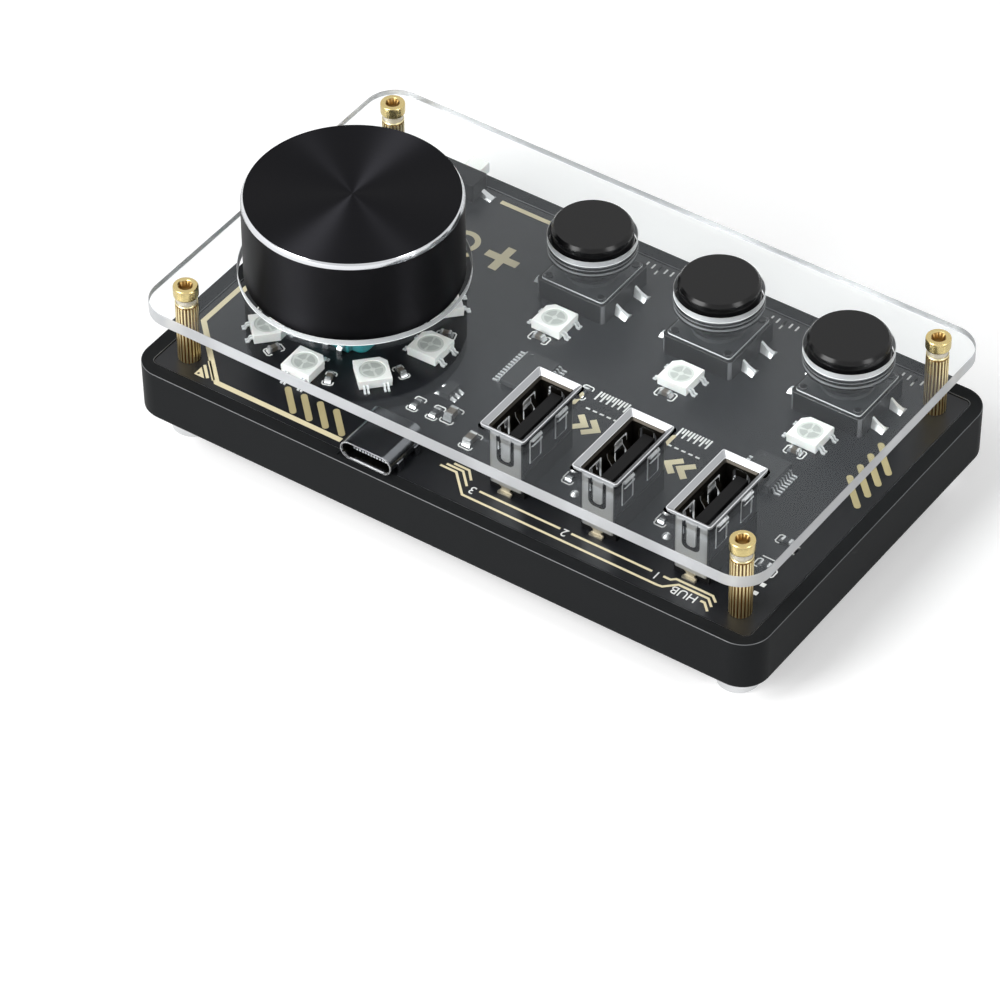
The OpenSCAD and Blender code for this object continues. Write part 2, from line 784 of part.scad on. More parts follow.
module regulator() {
    profile = [[0.8, 0.6], [1, 0.6], [1.15, 0.15], [1.5, 0.15], [1.5, 0], [1.05, 0], [0.9, 0.45], [0.8, 0.45]];
    color("#2b2c2e") translate([regulator_at[0], regulator_at[1], board_z]) {
        translate([0, 0, 0.08]) block(1.62, 2.9, 1);
        for (y = [-0.95, 0, 0.95]) translate([0, y, 0]) bent_strip(profile, 0.4);
        for (y = [-0.95, 0.95]) rotate([0, 0, 180]) translate([0, y, 0]) bent_strip(profile, 0.4);
    }
}

// a chip component: body with plated ends that stand a little proud
module small_part(l, w, h) {
    block(l - 0.6, w - 0.06, h - 0.04);
    for (i = signs) translate([i * (l / 2 - 0.2), 0, 0]) block(0.4, w, h);
}

module resistors() {
    color("#303133") for (p = resistor_places)
        translate([p[0], p[1], board_z]) rotate([0, 0, p[2]]) small_part(1.7, 0.9, 0.5);
}

module capacitors() {
    color("#a58a68") {
        for (p = capacitor_places)
            translate([p[0], p[1], board_z]) rotate([0, 0, p[2]]) small_part(2.1, 1.3, 1.1);
        for (i = [1:3]) translate([key_at(i) - 0.2, led_cap_y, board_z]) small_part(1.7, 0.9, 0.8);
        at_ring(ring_cap_turn, ring_cap_r) small_part(1.7, 0.9, 0.8);
    }
}

base_tray();
feet();
circuit_board();
standoffs();
cap_screws();
top_plate();
port_shell(1);  // port_shell_1
port_shell(2);  // port_shell_2
port_shell(3);  // port_shell_3
port_tongue(1);  // port_tongue_1
port_tongue(2);  // port_tongue_2
port_tongue(3);  // port_tongue_3
port_contacts();
inlet_shell();
inlet_tongue();
inlet_contacts();
key_housing(1);  // key_housing_1
key_housing(2);  // key_housing_2
key_housing(3);  // key_housing_3
key_cover(1);  // key_cover_1
key_cover(2);  // key_cover_2
key_cover(3);  // key_cover_3
key_domes();
key_legs();
key_plunger(1);  // key_plunger_1
key_plunger(2);  // key_plunger_2
key_plunger(3);  // key_plunger_3
key_cap(1);  // key_cap_1
key_cap(2);  // key_cap_2
key_cap(3);  // key_cap_3
encoder_base();
encoder_frame();
encoder_bushing();
encoder_pins();
encoder_dome();
encoder_push_pin();
encoder_shaft();
encoder_disc();
knob_insert();
knob();
slider_housing();
slider_legs();
slider_lever();
ring_led_bodies();
ring_led_lenses();
key_led_bodies();
key_led_lenses();
led_leads();
hub_chip();
key_chip();
chip_leads();
regulator();
resistors();
capacitors();
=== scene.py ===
import json
import math

import bmesh
import bpy
from mathutils import Matrix, Vector


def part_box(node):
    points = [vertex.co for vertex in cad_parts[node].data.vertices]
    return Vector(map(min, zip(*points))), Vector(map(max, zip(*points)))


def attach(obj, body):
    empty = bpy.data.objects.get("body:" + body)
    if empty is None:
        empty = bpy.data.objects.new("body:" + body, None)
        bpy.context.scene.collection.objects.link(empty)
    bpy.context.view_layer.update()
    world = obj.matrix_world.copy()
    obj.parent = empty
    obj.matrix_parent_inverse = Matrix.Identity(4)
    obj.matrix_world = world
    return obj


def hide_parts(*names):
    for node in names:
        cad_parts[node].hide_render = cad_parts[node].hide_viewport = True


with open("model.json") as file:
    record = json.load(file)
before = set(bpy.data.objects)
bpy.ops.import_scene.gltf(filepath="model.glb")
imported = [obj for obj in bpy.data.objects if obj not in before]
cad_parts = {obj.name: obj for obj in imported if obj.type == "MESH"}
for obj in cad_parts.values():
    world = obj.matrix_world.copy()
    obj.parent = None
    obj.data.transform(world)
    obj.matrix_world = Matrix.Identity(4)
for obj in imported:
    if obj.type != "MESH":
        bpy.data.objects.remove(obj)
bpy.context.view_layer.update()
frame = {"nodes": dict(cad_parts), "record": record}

# ---------------------------------------------------------------- sizes, in millimetres

MM = 0.001
BODIES = frame["record"]["behaviour"]["bodies"]
BODY_OF = {node: body for body, nodes in BODIES.items() for node in nodes}


def low(node, axis):
    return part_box(node)[0][axis] / MM


def high(node, axis):
    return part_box(node)[1][axis] / MM


def middle(node, axis):
    return (low(node, axis) + high(node, axis)) / 2


BOARD, BOARD_THICK = high("circuit_board", 2), 1.6
PLATE_LOW, PLATE_TOP = low("top_plate", 2), high("top_plate", 2)
PLATE_L, PLATE_W = high("top_plate", 0) * 2, high("top_plate", 1) * 2
PLATE_R = 5  # its corners, seen from above
TRAY_L, TRAY_W = high("base_tray", 0) * 2, high("base_tray", 1) * 2
TRAY_LOW, RIM = low("base_tray", 2), high("base_tray", 2)
# the tray: its corner radius, how far the walls slope in, the widths of rim and ledge, and the floor
TRAY_R, TRAY_DRAFT, RIM_W, LEDGE_W, TRAY_FLOOR = 4.4, 0.1, 2.35, 1.5, 1.8
# the posts' places on each side of the middle, and the radii of a post and its bore
POST_X, POST_Y, POST_R, BORE_R = 48, 25.8, 1.7, 1.02
KNOB = (middle("knob", 0), middle("knob", 1))
KNOB_R = (high("knob", 0) - low("knob", 0)) / 2
KNOB_LOW, KNOB_TOP = low("knob", 2), high("knob", 2)
KEY_XS = [middle(f"key_cap_{i}", 0) for i in (1, 2, 3)]
KEY_Y, KEY_STEP = middle("key_cap_1", 1), (KEY_XS[1] - KEY_XS[0], 0)
PORT_XS = [middle(f"port_shell_{i}", 0) for i in (1, 2, 3)]
PORT_Y = middle("port_tongue_1", 1)
INLET = (middle("inlet_shell", 0), low("inlet_shell", 1))
# the ring of lights round the knob, its turn in degrees, and the lights' height above the board
RING_R, RING_TURN, LIGHT_H = 13.2, 1.2, 1.6

# ---------------------------------------------------------------- small helpers


def to_linear(hex_colour):
    """An sRGB hex colour as the linear values that shaders take."""
    values = [int(hex_colour[i:i + 2], 16) / 255 for i in (1, 3, 5)]
    return tuple(v / 12.92 if v <= 0.04045 else ((v + 0.055) / 1.055) ** 2.4 for v in values) + (1.0,)


def add(tree, kind, sockets=(), **settings):
    """Adds one node. A socket's entry is a value, or the output that feeds it."""
    node = tree.nodes.new(kind)
    for name, value in settings.items():
        setattr(node, name, value)
    for name, value in dict(sockets).items():
        if isinstance(value, bpy.types.NodeSocket):
            tree.links.new(value, node.inputs[name])
        else:
            node.inputs[name].default_value = value
    return node


def new_material(name):
    material = bpy.data.materials.new(name)
    material.use_nodes = True
    material.node_tree.nodes.clear()
    return material, material.node_tree


def finish(name, colour, rough, mottle, grain=0.3, depth=0.0, streak=(1, 1, 1), uneven=0.05, **surface):
    """A shop finish: a base colour with faint mottling, and a grain of that many millimetres in its
    roughness and bump. The other settings go to the shader's own sockets."""
    clouds_per_mm = 0.12
    material, tree = new_material(name)
    place = add(tree, "ShaderNodeTexCoord").outputs["Object"]
    place = add(tree, "ShaderNodeMapping", {"Vector": place, "Scale": [s / MM for s in streak]}).outputs[0]
    grains = add(tree, "ShaderNodeTexNoise",
                 {"Vector": place, "Scale": 1 / grain, "Detail": 4.0}).outputs["Fac"]
    clouds = add(tree, "ShaderNodeTexNoise",
                 {"Vector": place, "Scale": clouds_per_mm, "Detail": 3.0}).outputs["Fac"]
    mixed = add(tree, "ShaderNodeMix", {0: clouds, 6: to_linear(colour), 7: to_linear(mottle)},
                data_type="RGBA")
    shade = add(tree, "ShaderNodeMapRange",
                {"Value": grains, "To Min": rough - uneven, "To Max": rough + uneven})
    shader = add(tree, "ShaderNodeBsdfPrincipled", {
        "Base Color": mixed.outputs[2], "Roughness": shade.outputs[0],
        **{key.replace("_", " ").title().replace("Ior", "IOR"): value for key, value in surface.items()}})
    if depth:
        bump = add(tree, "ShaderNodeBump", {"Height": grains, "Distance": depth * MM, "Strength": 1.0})
        tree.links.new(bump.outputs[0], shader.inputs["Normal"])
    add(tree, "ShaderNodeOutputMaterial", {"Surface": shader.outputs[0]})
    return material


def remove(*objects):
    for thing in objects:
        bpy.data.objects.remove(thing)


def link(name, data):
    thing = bpy.data.objects.new(name, data)
    bpy.context.scene.collection.objects.link(thing)
    return thing


def evaluated(thing):
    """The thing's mesh with its modifiers applied; the thing itself is removed."""
    bpy.context.view_layer.update()
    graph = bpy.context.evaluated_depsgraph_get()
    mesh = bpy.data.meshes.new_from_object(thing.evaluated_get(graph))
    remove(thing)
    return mesh


def to_mesh(bm, outward=True):
    if outward:
        bmesh.ops.recalc_face_normals(bm, faces=bm.faces)
    mesh = bpy.data.meshes.new("part")
    bm.to_mesh(mesh)
    bm.free()
    return mesh


def joined(*meshes):
    bm = bmesh.new()
    for mesh in meshes:
        bm.from_mesh(mesh)
    return to_mesh(bm, outward=False)


def moved(mesh, x=0.0, y=0.0, z=0.0, turn=0.0):
    """A copy of the mesh, turned about Z by degrees and then shifted by millimetres."""
    mesh = mesh.copy()
    mesh.transform(Matrix.Translation(Vector((x, y, z)) * MM) @ Matrix.Rotation(math.radians(turn), 4, "Z"))
    return mesh


def zoned(mesh, rule):
    """Gives each face the number of its material: one number for all, or worked out from the face."""
    for face in mesh.polygons:
        face.material_index = rule(face) if callable(rule) else rule
    return mesh


def piece(name, mesh, materials, body="board_unit", replaces=(), smooth=35):
    """Puts a finished mesh on the body it rides on."""
    zones = [face.material_index if len(materials) > 1 else 0 for face in mesh.polygons]
    mesh.materials.clear()
    for material in materials:
        mesh.materials.append(material)
    mesh.polygons.foreach_set("material_index", zones)
    mesh.polygons.foreach_set("use_smooth", [True] * len(mesh.polygons))
    mesh.set_sharp_from_angle(angle=math.radians(smooth))
    thing = link(name, mesh)
    even = thing.modifiers.new("even_shading", "WEIGHTED_NORMAL")
    even.keep_sharp, even.weight = True, 100
    thing = link(name, evaluated(thing))
    thing.name = thing.data.name = name
    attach(thing, body)
    if replaces:
        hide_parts(*replaces)
    return thing


def soften(node, width, materials):
    """The CAD part with its edges rounded as moulding or stamping leaves them."""
    bm = bmesh.new()
    bm.from_mesh(frame["nodes"][node].data)
    bmesh.ops.remove_doubles(bm, verts=bm.verts, dist=0.002 * MM)
    bmesh.ops.dissolve_limit(bm, angle_limit=math.radians(1), verts=bm.verts, edges=bm.edges)
    thing = link(node + "_rounded", to_mesh(bm, outward=False))
    bevel = thing.modifiers.new("rounding", "BEVEL")
    bevel.width, bevel.segments, bevel.limit_method = width * MM, 2, "ANGLE"
    bevel.angle_limit, bevel.use_clamp_overlap, bevel.miter_outer = math.radians(32), True, "MITER_ARC"
    mesh = evaluated(thing)
    return piece(node + "_rounded", mesh, materials, BODY_OF[node], (node,), smooth=40)


# ---------------------------------------------------------------- shapes


def rounded(points, radii, steps=4):
    """An open line of 2-D points with each inner corner rounded by its radius."""
    out = [points[0]]
    for before, here, after, radius in zip(points, points[1:], points[2:], radii[1:]):
        a, b, c = Vector(before), Vector(here), Vector(after)
        if radius <= 0:
            out.append(here)
            continue
        u, v = (a - b).normalized(), (c - b).normalized()
        cut = min(radius / math.tan(u.angle(v) / 2), (a - b).length * 0.49, (c - b).length * 0.49)
        start, end = b + u * cut, b + v * cut
        for k in range(steps + 1):
            t = k / steps
            out.append(tuple(start * (1 - t) ** 2 + b * 2 * t * (1 - t) + end * t ** 2))
    return out + [points[-1]]


def box_outline(length, width, radius, steps=8):
    """A rectangle with round corners, anticlockwise."""
    out = []
    for k, (i, j) in enumerate(((1, 1), (-1, 1), (-1, -1), (1, -1))):
        for s in range(steps + 1):
            angle = math.radians(90 * (k + s / steps))
            out.append((i * (length / 2 - radius) + radius * math.cos(angle),
                        j * (width / 2 - radius) + radius * math.sin(angle)))
    return out


def circle(radius, steps=64, x=0.0, y=0.0):
    return [(x + radius * math.cos(2 * math.pi * k / steps), y + radius * math.sin(2 * math.pi * k / steps))
            for k in range(steps)]


def ring_of(steps, z, radius_at):
    """A ring of points at that height, its radius worked out from the angle."""
    angles = [2 * math.pi * k / steps for k in range(steps)]
    return [(radius_at(a) * math.cos(a), radius_at(a) * math.sin(a), z) for a in angles]


def at_height(outline, z):
    return [(x, y, z) for x, y in outline]


def loft(rings, closed=False, bands=None):
    """Joins rings of 3-D points, in millimetres, and closes both ends, or joins the last to the first."""
    bm = bmesh.new()
    rows = [[bm.verts.new(Vector(p) * MM) for p in ring] for ring in rings]
    pairs = list(zip(rows, rows[1:])) + ([(rows[-1], rows[0])] if closed else [])
    for number, (a, b) in enumerate(pairs):
        for k in range(len(a)):
            m = (k + 1) % len(a)
            face = bm.faces.new((a[k], a[m], b[m], b[k]))
            face.material_index = bands[number] if bands else 0
    if not closed:
        bm.faces.new(rows[0])
        bm.faces.new(rows[-1])
    return to_mesh(bm)


def lathe(profile, centre=(0, 0), steps=96, bands=None):
    """A turned solid from (radius, height) points; points on the axis become poles."""
    bm = bmesh.new()
    rows = []
    for radius, height in profile:
        points = circle(radius, steps, *centre)
        rows.append([bm.verts.new(Vector((x, y, height)) * MM)
                     for x, y in (points if radius > 1e-6 else points[:1])])
    for number, (a, b) in enumerate(zip(rows, rows[1:])):
        for k in range(steps):
            m = (k + 1) % steps
            corners = (a[k % len(a)], a[m % len(a)], b[m % len(b)], b[k % len(b)])
            corners = list(dict.fromkeys(corners))  # at a pole, two of the four are the same point
            if len(corners) > 2:
                face = bm.faces.new(corners)
                face.material_index = bands[number] if bands else 0
    return to_mesh(bm)


def slab(outlines, z0, z1, bevel=0.0, steps=2):
    """A flat plate with holes: the first outline is its edge, the others are cut out."""
    curve = bpy.data.curves.new("slab", "CURVE")
    curve.dimensions, curve.fill_mode = "2D", "BOTH"
    curve.extrude = (z1 - z0) / 2 * MM - bevel * MM
    curve.bevel_depth, curve.bevel_resolution, curve.offset = bevel * MM, steps, -bevel * MM
    for outline in outlines:
        spline = curve.splines.new("POLY")
        spline.points.add(len(outline) - 1)
        for point, (x, y) in zip(spline.points, outline):
            point.co = (x * MM, y * MM, 0, 1)
        spline.use_cyclic_u = True
    mesh = evaluated(link("slab", curve))
    bm = bmesh.new()
    bm.from_mesh(mesh)
    bmesh.ops.remove_doubles(bm, verts=bm.verts, dist=0.001 * MM)
    bmesh.ops.translate(bm, verts=bm.verts, vec=(0, 0, (z0 + z1) / 2 * MM))
    return to_mesh(bm)


def on_face(mesh, x, y, turn):
    """Stands a slab made in X and Y up, so that its Y becomes height, and turns it about Z."""
    mesh = mesh.copy()
    mesh.transform(Matrix.Translation(Vector((x, y, 0)) * MM) @ Matrix.Rotation(math.radians(turn), 4, "Z")
                   @ Matrix.Rotation(math.radians(90), 4, "X"))
    return mesh


def strip(profile, thick, width, x=0.0, y=0.0, turn=0.0):
    """A bent metal strip: its middle line in (out, height), made thick, and wide across it."""
    sides = [[], []]
    for k, point in enumerate(profile):
        before, after = Vector(profile[max(k - 1, 0)]), Vector(profile[min(k + 1, len(profile) - 1)])
        along = (after - before).normalized()
        across = Vector((-along.y, along.x)) * thick / 2
        sides[0].append(tuple(Vector(point) + across))
        sides[1].append(tuple(Vector(point) - across))
    outline = sides[0] + sides[1][::-1]
    bm = bmesh.new()
    ends = [[bm.verts.new(Vector((a, e * width / 2, b)) * MM) for a, b in outline] for e in (-1, 1)]
    n, count = len(profile), len(outline)
    for k in range(count):
        m = (k + 1) % count
        bm.faces.new((ends[0][k], ends[0][m], ends[1][m], ends[1][k]))
    for row in ends:
        for k in range(n - 1):
            bm.faces.new((row[k], row[k + 1], row[count - 2 - k], row[count - 1 - k]))
    return moved(to_mesh(bm), x, y, 0, turn)


def cut(mesh, *cutters):
    """The mesh with the cutters' shapes taken away."""
    thing, tool = link("body", mesh), link("cutter", joined(*cutters))
    boolean = thing.modifiers.new("cut", "BOOLEAN")
    boolean.operation, boolean.solver, boolean.object = "DIFFERENCE", "EXACT", tool
    mesh = evaluated(thing)
    remove(tool)
    return mesh


def block(x0, x1, y0, y1, z0, z1):
    return loft([at_height(((x0, y0), (x1, y0), (x1, y1), (x0, y1)), z) for z in (z0, z1)])


def wedge(x0, x1, high_z, half_0, half_1, low_z=0.06, flat=0.6):
    """A solder-covered leg along X: high and narrow at the part, low and wide at its end."""
    waist = x0 + (x1 - x0) * 0.45  # where the solder dips
    middle_z, half = high_z * 0.55, half_0 + (half_1 - half_0) * 0.4
    return loft([[(x, -w, 0), (x, w, 0), (x, w * flat, z), (x, -w * flat, z)]
                 for x, z, w in ((x0, high_z, half_0), (waist, middle_z, half), (x1, low_z, half_1))])


# ---------------------------------------------------------------- Geometry Nodes for what repeats


def new_tree(name, **inputs):
    """A node tree with named inputs, each given by its socket type and its first value."""
    tree = bpy.data.node_groups.new(name, "GeometryNodeTree")
    tree.interface.new_socket("Geometry", in_out="INPUT", socket_type="NodeSocketGeometry")
    for label, (kind, value) in inputs.items():
        socket = tree.interface.new_socket(label.replace("_", " "), in_out="INPUT",
                                           socket_type="NodeSocket" + kind)
        if value is not None:
            socket.default_value = value
    tree.interface.new_socket("Geometry", in_out="OUTPUT", socket_type="NodeSocketGeometry")
    return tree, add(tree, "NodeGroupInput").outputs


def end_tree(tree, given, points, turn=(0, 0, 0)):
    """Puts the part on each point, and ends in real geometry with its material."""
    part = add(tree, "GeometryNodeObjectInfo", {"Object": given["Part"]}).outputs["Geometry"]
    parts = add(tree, "GeometryNodeInstanceOnPoints",
                {"Points": points, "Instance": part, "Rotation": turn})
    real = add(tree, "GeometryNodeRealizeInstances", {"Geometry": parts.outputs[0]})
    done = add(tree, "GeometryNodeSetMaterial",
               {"Geometry": real.outputs[0], "Material": given["Material"]})
    add(tree, "NodeGroupOutput", {"Geometry": done.outputs[0]})
    return tree


def ring_tree():
    tree, given = new_tree(
        "ring of parts", Part=("Object", None), Count=("Int", 8), Radius=("Float", 0.01),
        First_turn=("Float", 0.0), Centre=("Vector", (0, 0, 0)), Material=("Material", None))
    points = add(tree, "GeometryNodeMeshCircle", {"Vertices": given["Count"], "Radius": given["Radius"]})
    step = add(tree, "ShaderNodeMath", {0: 2 * math.pi, 1: given["Count"]}, operation="DIVIDE")
    number = add(tree, "GeometryNodeInputIndex").outputs[0]
    angle = add(tree, "ShaderNodeMath", {0: number, 1: step.outputs[0]}, operation="MULTIPLY")
    whole = add(tree, "ShaderNodeMath", {0: angle.outputs[0], 1: given["First turn"]}, operation="ADD")
    first = add(tree, "ShaderNodeCombineXYZ", {"Z": given["First turn"]})
    placed = add(tree, "GeometryNodeTransform",
                 {"Geometry": points.outputs[0], "Translation": given["Centre"],
                  "Rotation": first.outputs[0]})
    turn = add(tree, "ShaderNodeCombineXYZ", {"Z": whole.outputs[0]})
    return end_tree(tree, given, placed.outputs[0], turn.outputs[0])


def row_tree():
    tree, given = new_tree(
        "row of parts", Part=("Object", None), Count=("Int", 3), Start=("Vector", (0, 0, 0)),
        Step=("Vector", (0, 0, 0)), Material=("Material", None))
    points = add(tree, "GeometryNodeMeshLine", {"Count": given["Count"], "Start Location": given["Start"],
                                                "Offset": given["Step"]}, mode="OFFSET")
    return end_tree(tree, given, points.outputs[0])


def corner_tree():
    tree, given = new_tree(
        "part at four corners", Part=("Object", None), Length=("Float", 0.1), Width=("Float", 0.05),
        Material=("Material", None))
    points = add(tree, "GeometryNodeMeshGrid", {"Size X": given["Length"], "Size Y": given["Width"],
                                                "Vertices X": 2, "Vertices Y": 2})
    return end_tree(tree, given, points.outputs[0])


RING, ROW, CORNERS = ring_tree(), row_tree(), corner_tree()


def repeat(tree, part, material, **values):
    """Runs one of the trees on a part's mesh and gives the result as a plain mesh."""
    source = link("source", part)
    host = link("repeated", bpy.data.meshes.new("host"))
    modifier = host.modifiers.new("repeat", "NODES")
    modifier.node_group = tree
    values.update(Part=source, Material=material)
    for item in tree.interface.items_tree:
        if item.in_out == "INPUT" and item.name.replace(" ", "_") in values:
            modifier[item.identifier] = values[item.name.replace(" ", "_")]
    mesh = evaluated(host)
    remove(source)
    return mesh


def in_row(part, material, count, start, step):
    """Copies on the board, from one place on in equal steps, both given as X and Y."""
    return repeat(ROW, part, material, Count=count, Start=[v * MM for v in (*start, BOARD)],
                  Step=[v * MM for v in (*step, 0)])


def in_ring(part, material, extra_turn=0.0, radius=RING_R):
    """Eight copies on the board, round the knob."""
    return repeat(RING, part, material, Count=8, Radius=radius * MM,
                  First_turn=math.radians(RING_TURN + extra_turn), Centre=[v * MM for v in (*KNOB, BOARD)])


def at_corners(part, material):
    return repeat(CORNERS, part, material, Length=2 * POST_X * MM, Width=2 * POST_Y * MM)


# ---------------------------------------------------------------- camera, light, floor


def set_camera():
    """A long lens, from the inlet side, above and to the right."""
    azimuth, elevation, roll = math.radians(35.061), math.radians(42.282), math.radians(-0.488)
    distance, sensor = 0.82091, 36
    # in pixels of a square picture of that width: the focal length, and where the board's middle falls
    width, focal, board_x, board_y = 1000, 5640.65, 559.79, 382.28
    back = Vector((math.sin(azimuth) * math.cos(elevation), -math.cos(azimuth) * math.cos(elevation),
                   math.sin(elevation)))
    right = Vector((math.cos(azimuth), math.sin(azimuth), 0))
    up = back.cross(right)
    right, up = right * math.cos(roll) + up * math.sin(roll), up * math.cos(roll) - right * math.sin(roll)
    off_x, off_y = (board_x - width / 2) / focal * distance, (width / 2 - board_y) / focal * distance
    camera = bpy.data.cameras.new("camera")
    camera.lens, camera.sensor_width = focal * sensor / width, sensor
    camera.clip_start, camera.clip_end = 0.05, 20
    thing = link("camera", camera)
    thing.matrix_world = Matrix((right, up, back)).transposed().to_4x4()
    thing.location = Vector((0, 0, BOARD * MM)) + back * distance - right * off_x - up * off_y
    bpy.context.scene.camera = thing


def seen_directly(tree):
    """1 for what is seen, also in a reflection or through the plate, and 0 for what only gives light."""
    path = add(tree, "ShaderNodeLightPath")
    seen = add(tree, "ShaderNodeMath", {0: path.outputs["Is Camera Ray"], 1: path.outputs["Is Glossy Ray"]},
               operation="MAXIMUM")
    return add(tree, "ShaderNodeMath", {0: seen.outputs[0], 1: path.outputs["Is Transmission Ray"]},
               operation="MAXIMUM").outputs[0]


def set_light():
    """White surroundings and two tall soft boxes, at the front left and at the right."""
    world = bpy.data.worlds.new("studio")
    bpy.context.scene.world = world
    world.use_nodes = True
    tree = world.node_tree
    tree.nodes.clear()
    # the surroundings look plain white, but light the keypad only a third as strongly
    room = add(tree, "ShaderNodeBackground", {"Color": (1, 1, 1, 1), "Strength": 0.33})
    white = add(tree, "ShaderNodeBackground", {"Color": (1, 1, 1, 1), "Strength": 1.0})
    mixed = add(tree, "ShaderNodeMixShader",
                {0: seen_directly(tree), 1: room.outputs[0], 2: white.outputs[0]})
    add(tree, "ShaderNodeOutputWorld", {"Surface": mixed.outputs[0]})
    for name, place, (width, height), power in (
            ("key_lamp", (-0.26, -0.58, 0.4), (0.38, 0.7), 7.0),
            ("side_lamp", (0.68, -0.05, 0.36), (0.22, 0.6), 2.3)):
        lamp = bpy.data.lights.new(name, "AREA")
        lamp.shape, lamp.size, lamp.size_y, lamp.energy = "RECTANGLE", width, height, power
        thing = link(name, lamp)
        thing.location = place
        thing.rotation_euler = (-Vector(place)).to_track_quat("-Z", "Y").to_euler()


def set_floor():
    # painted board: matt and near white, and lit to plain white where nothing shades it
    material, tree = new_material("floor_white_painted_board")
    grains = add(tree, "ShaderNodeTexNoise", {"Scale": 40.0, "Detail": 3.0})
    tone = add(tree, "ShaderNodeMapRange", {"Value": grains.outputs["Fac"], "To Min": 0.86, "To Max": 0.88})
    lift = add(tree, "ShaderNodeMath", {0: seen_directly(tree), 1: 0.3}, operation="MULTIPLY")
    matt = add(tree, "ShaderNodeBsdfDiffuse", {"Color": tone.outputs[0]})
    glow = add(tree, "ShaderNodeEmission", {"Color": (1, 1, 1, 1), "Strength": lift.outputs[0]})
    both = add(tree, "ShaderNodeAddShader", {0: matt.outputs[0], 1: glow.outputs[0]})
    add(tree, "ShaderNodeOutputMaterial", {"Surface": both.outputs[0]})
    bm = bmesh.new()
    bmesh.ops.create_grid(bm, x_segments=8, y_segments=8, size=3.0)
    floor = link("floor", to_mesh(bm, outward=False))
    floor.data.materials.append(material)


bpy.context.scene.view_settings.view_transform = "Standard"
set_camera()
set_light()
set_floor()

# ---------------------------------------------------------------- materials

# moulded ABS from a finely sparked mould: soft, even sheen with no sharp reflections
TRAY_ABS = finish("tray_moulded_abs", "#1e1f20", 0.42, "#202122", grain=0.25, depth=0.005,
                  specular_ior_level=0.02)
# the same ABS, lightened along the lip's edges as a painted highlight
TRAY_EDGE_HIGHLIGHT = finish("rubbed_abs_edge", "#5c5e60", 0.3, "#545658", grain=0.2)
# solder mask over copper: smooth black lacquer with a slight wave
BOARD_MASK = finish("board_black_solder_mask", "#16171a", 0.34, "#191a1d", grain=3, uneven=0.04,
                    specular_ior_level=0.3)
# turned brass: bright, with fine tool marks round the axis
BRASS = finish("turned_brass", "#d3c08a", 0.26, "#c8b47c", grain=0.12, depth=0.001, metallic=1.0)
# the posts' brass, lightened on the flutes as a painted highlight, and darkened between them as painted
# shade
LIT_RIDGE_BRASS = finish("polished_brass_ridges", "#eedfae", 0.3, "#e6d49e", grain=0.12, metallic=1.0)
SHADED_GROOVE_BRASS = finish("tarnished_brass_in_grooves", "#8c6a3c", 0.4, "#7d5e34", grain=0.12, uneven=0.06,
                    metallic=1.0)
# the screws' sockets, in brass darkened as painted shade in the recess
SHADED_SOCKET_BRASS = finish("broached_brass_socket", "#94794a", 0.35, "#866c40", grain=0.12, uneven=0.06,
                      metallic=1.0)
# gold flash on copper: pale, softly shining
GOLD = finish("gold_flash_on_copper", "#d9cfae", 0.45, "#d0c5a1", grain=0.12, depth=0.002, uneven=0.06,
              specular_ior_level=0.5)
# the same gold, darker, on the short bars
DARKER_GOLD = finish("brushed_dull_gold", "#a89d76", 0.5, "#9e926b", grain=0.12, depth=0.002, uneven=0.06)
# silk-screen ink: flat white
PRINT = finish("silk_screen_white_ink", "#dcdddb", 0.7, "#cfd0ce", grain=0.1)
# tinned steel strip, rolled before stamping: streaks along the strip
TINNED = finish("rolled_tinned_steel", "#adafb1", 0.42, "#a1a3a6", grain=0.5, depth=0.002,
                streak=(1, 1, 0.15), uneven=0.06, metallic=1.0)
# the same strip with its rolling marks upright, lightened on the end walls as painted light, and with them
# along the side walls, darkened as painted shade
LIT_UPRIGHT_STEEL = finish("tinned_steel_upright_grain", "#cfd1d2", 0.36, "#a0a2a5", depth=0.002,
                       streak=(1, 1, 0.08), uneven=0.1, metallic=0.85)
SHADED_SIDE_STEEL = finish("tinned_steel_lengthwise_grain", "#4d4f52", 0.4, "#46484b", grain=0.5,
                          depth=0.002, streak=(1, 0.15, 1), uneven=0.06, metallic=1.0)
# sheared edges of the strip: bare steel, lightened as a painted highlight
SHEARED_HIGHLIGHT = finish("sheared_steel_edge", "#e2e4e6", 0.5, "#d8dadc", grain=0.2, metallic=0.4)
# bright plated wire and stamped legs
BRIGHT = finish("bright_tin_plate", "#e6e8ea", 0.28, "#dadcde", grain=0.2, depth=0.002, uneven=0.04,
                metallic=1.0)
# thick tin on the small leads, which looks white from every side; on the inlet's rolled lip the same white
# stands in for the nickel as a painted highlight
TIN_AND_LIP_HIGHLIGHT = finish("hot_dipped_tin_lead", "#eef0f1", 0.3, "#e2e4e5", grain=0.2, metallic=0.35)
# dark nickel plate on a drawn tube: grey reflections, stretched along it
NICKEL = finish("dark_nickel_plate", "#85878b", 0.22, "#7b7d81", grain=0.4, depth=0.002,
                streak=(1, 0.15, 1), metallic=1.0)
# moulded black nylon: deep black, a little matt
NYLON = finish("moulded_black_nylon", "#090909", 0.3, "#0c0c0d", grain=0.2, depth=0.001,
               specular_ior_level=0.12)
# its moulded edges, lightened as a painted highlight
NYLON_EDGE_HIGHLIGHT = finish("polished_nylon_edge", "#646567", 0.25, "#5a5b5d", grain=0.2)
# the ports' insulators, a deeper black
INSULATOR = finish("moulded_black_pbt", "#0e0e0f", 0.45, "#121213", grain=0.2, depth=0.003,
                   specular_ior_level=0.15)
# the same tinned strip inside the ports, darkened as painted shade
SHADED_STEEL = finish("dull_steel_inside", "#3e3b36", 0.4, "#34312d", grain=0.5, depth=0.002,
                      streak=(1, 1, 0.15), uneven=0.06, metallic=1.0)
# tin over brass, on the ports' solder legs: grey with a warm tinge
TINNED_BRASS = finish("tinned_brass_leg", "#b2ac9c", 0.35, "#a39d8c", depth=0.002, metallic=0.7)
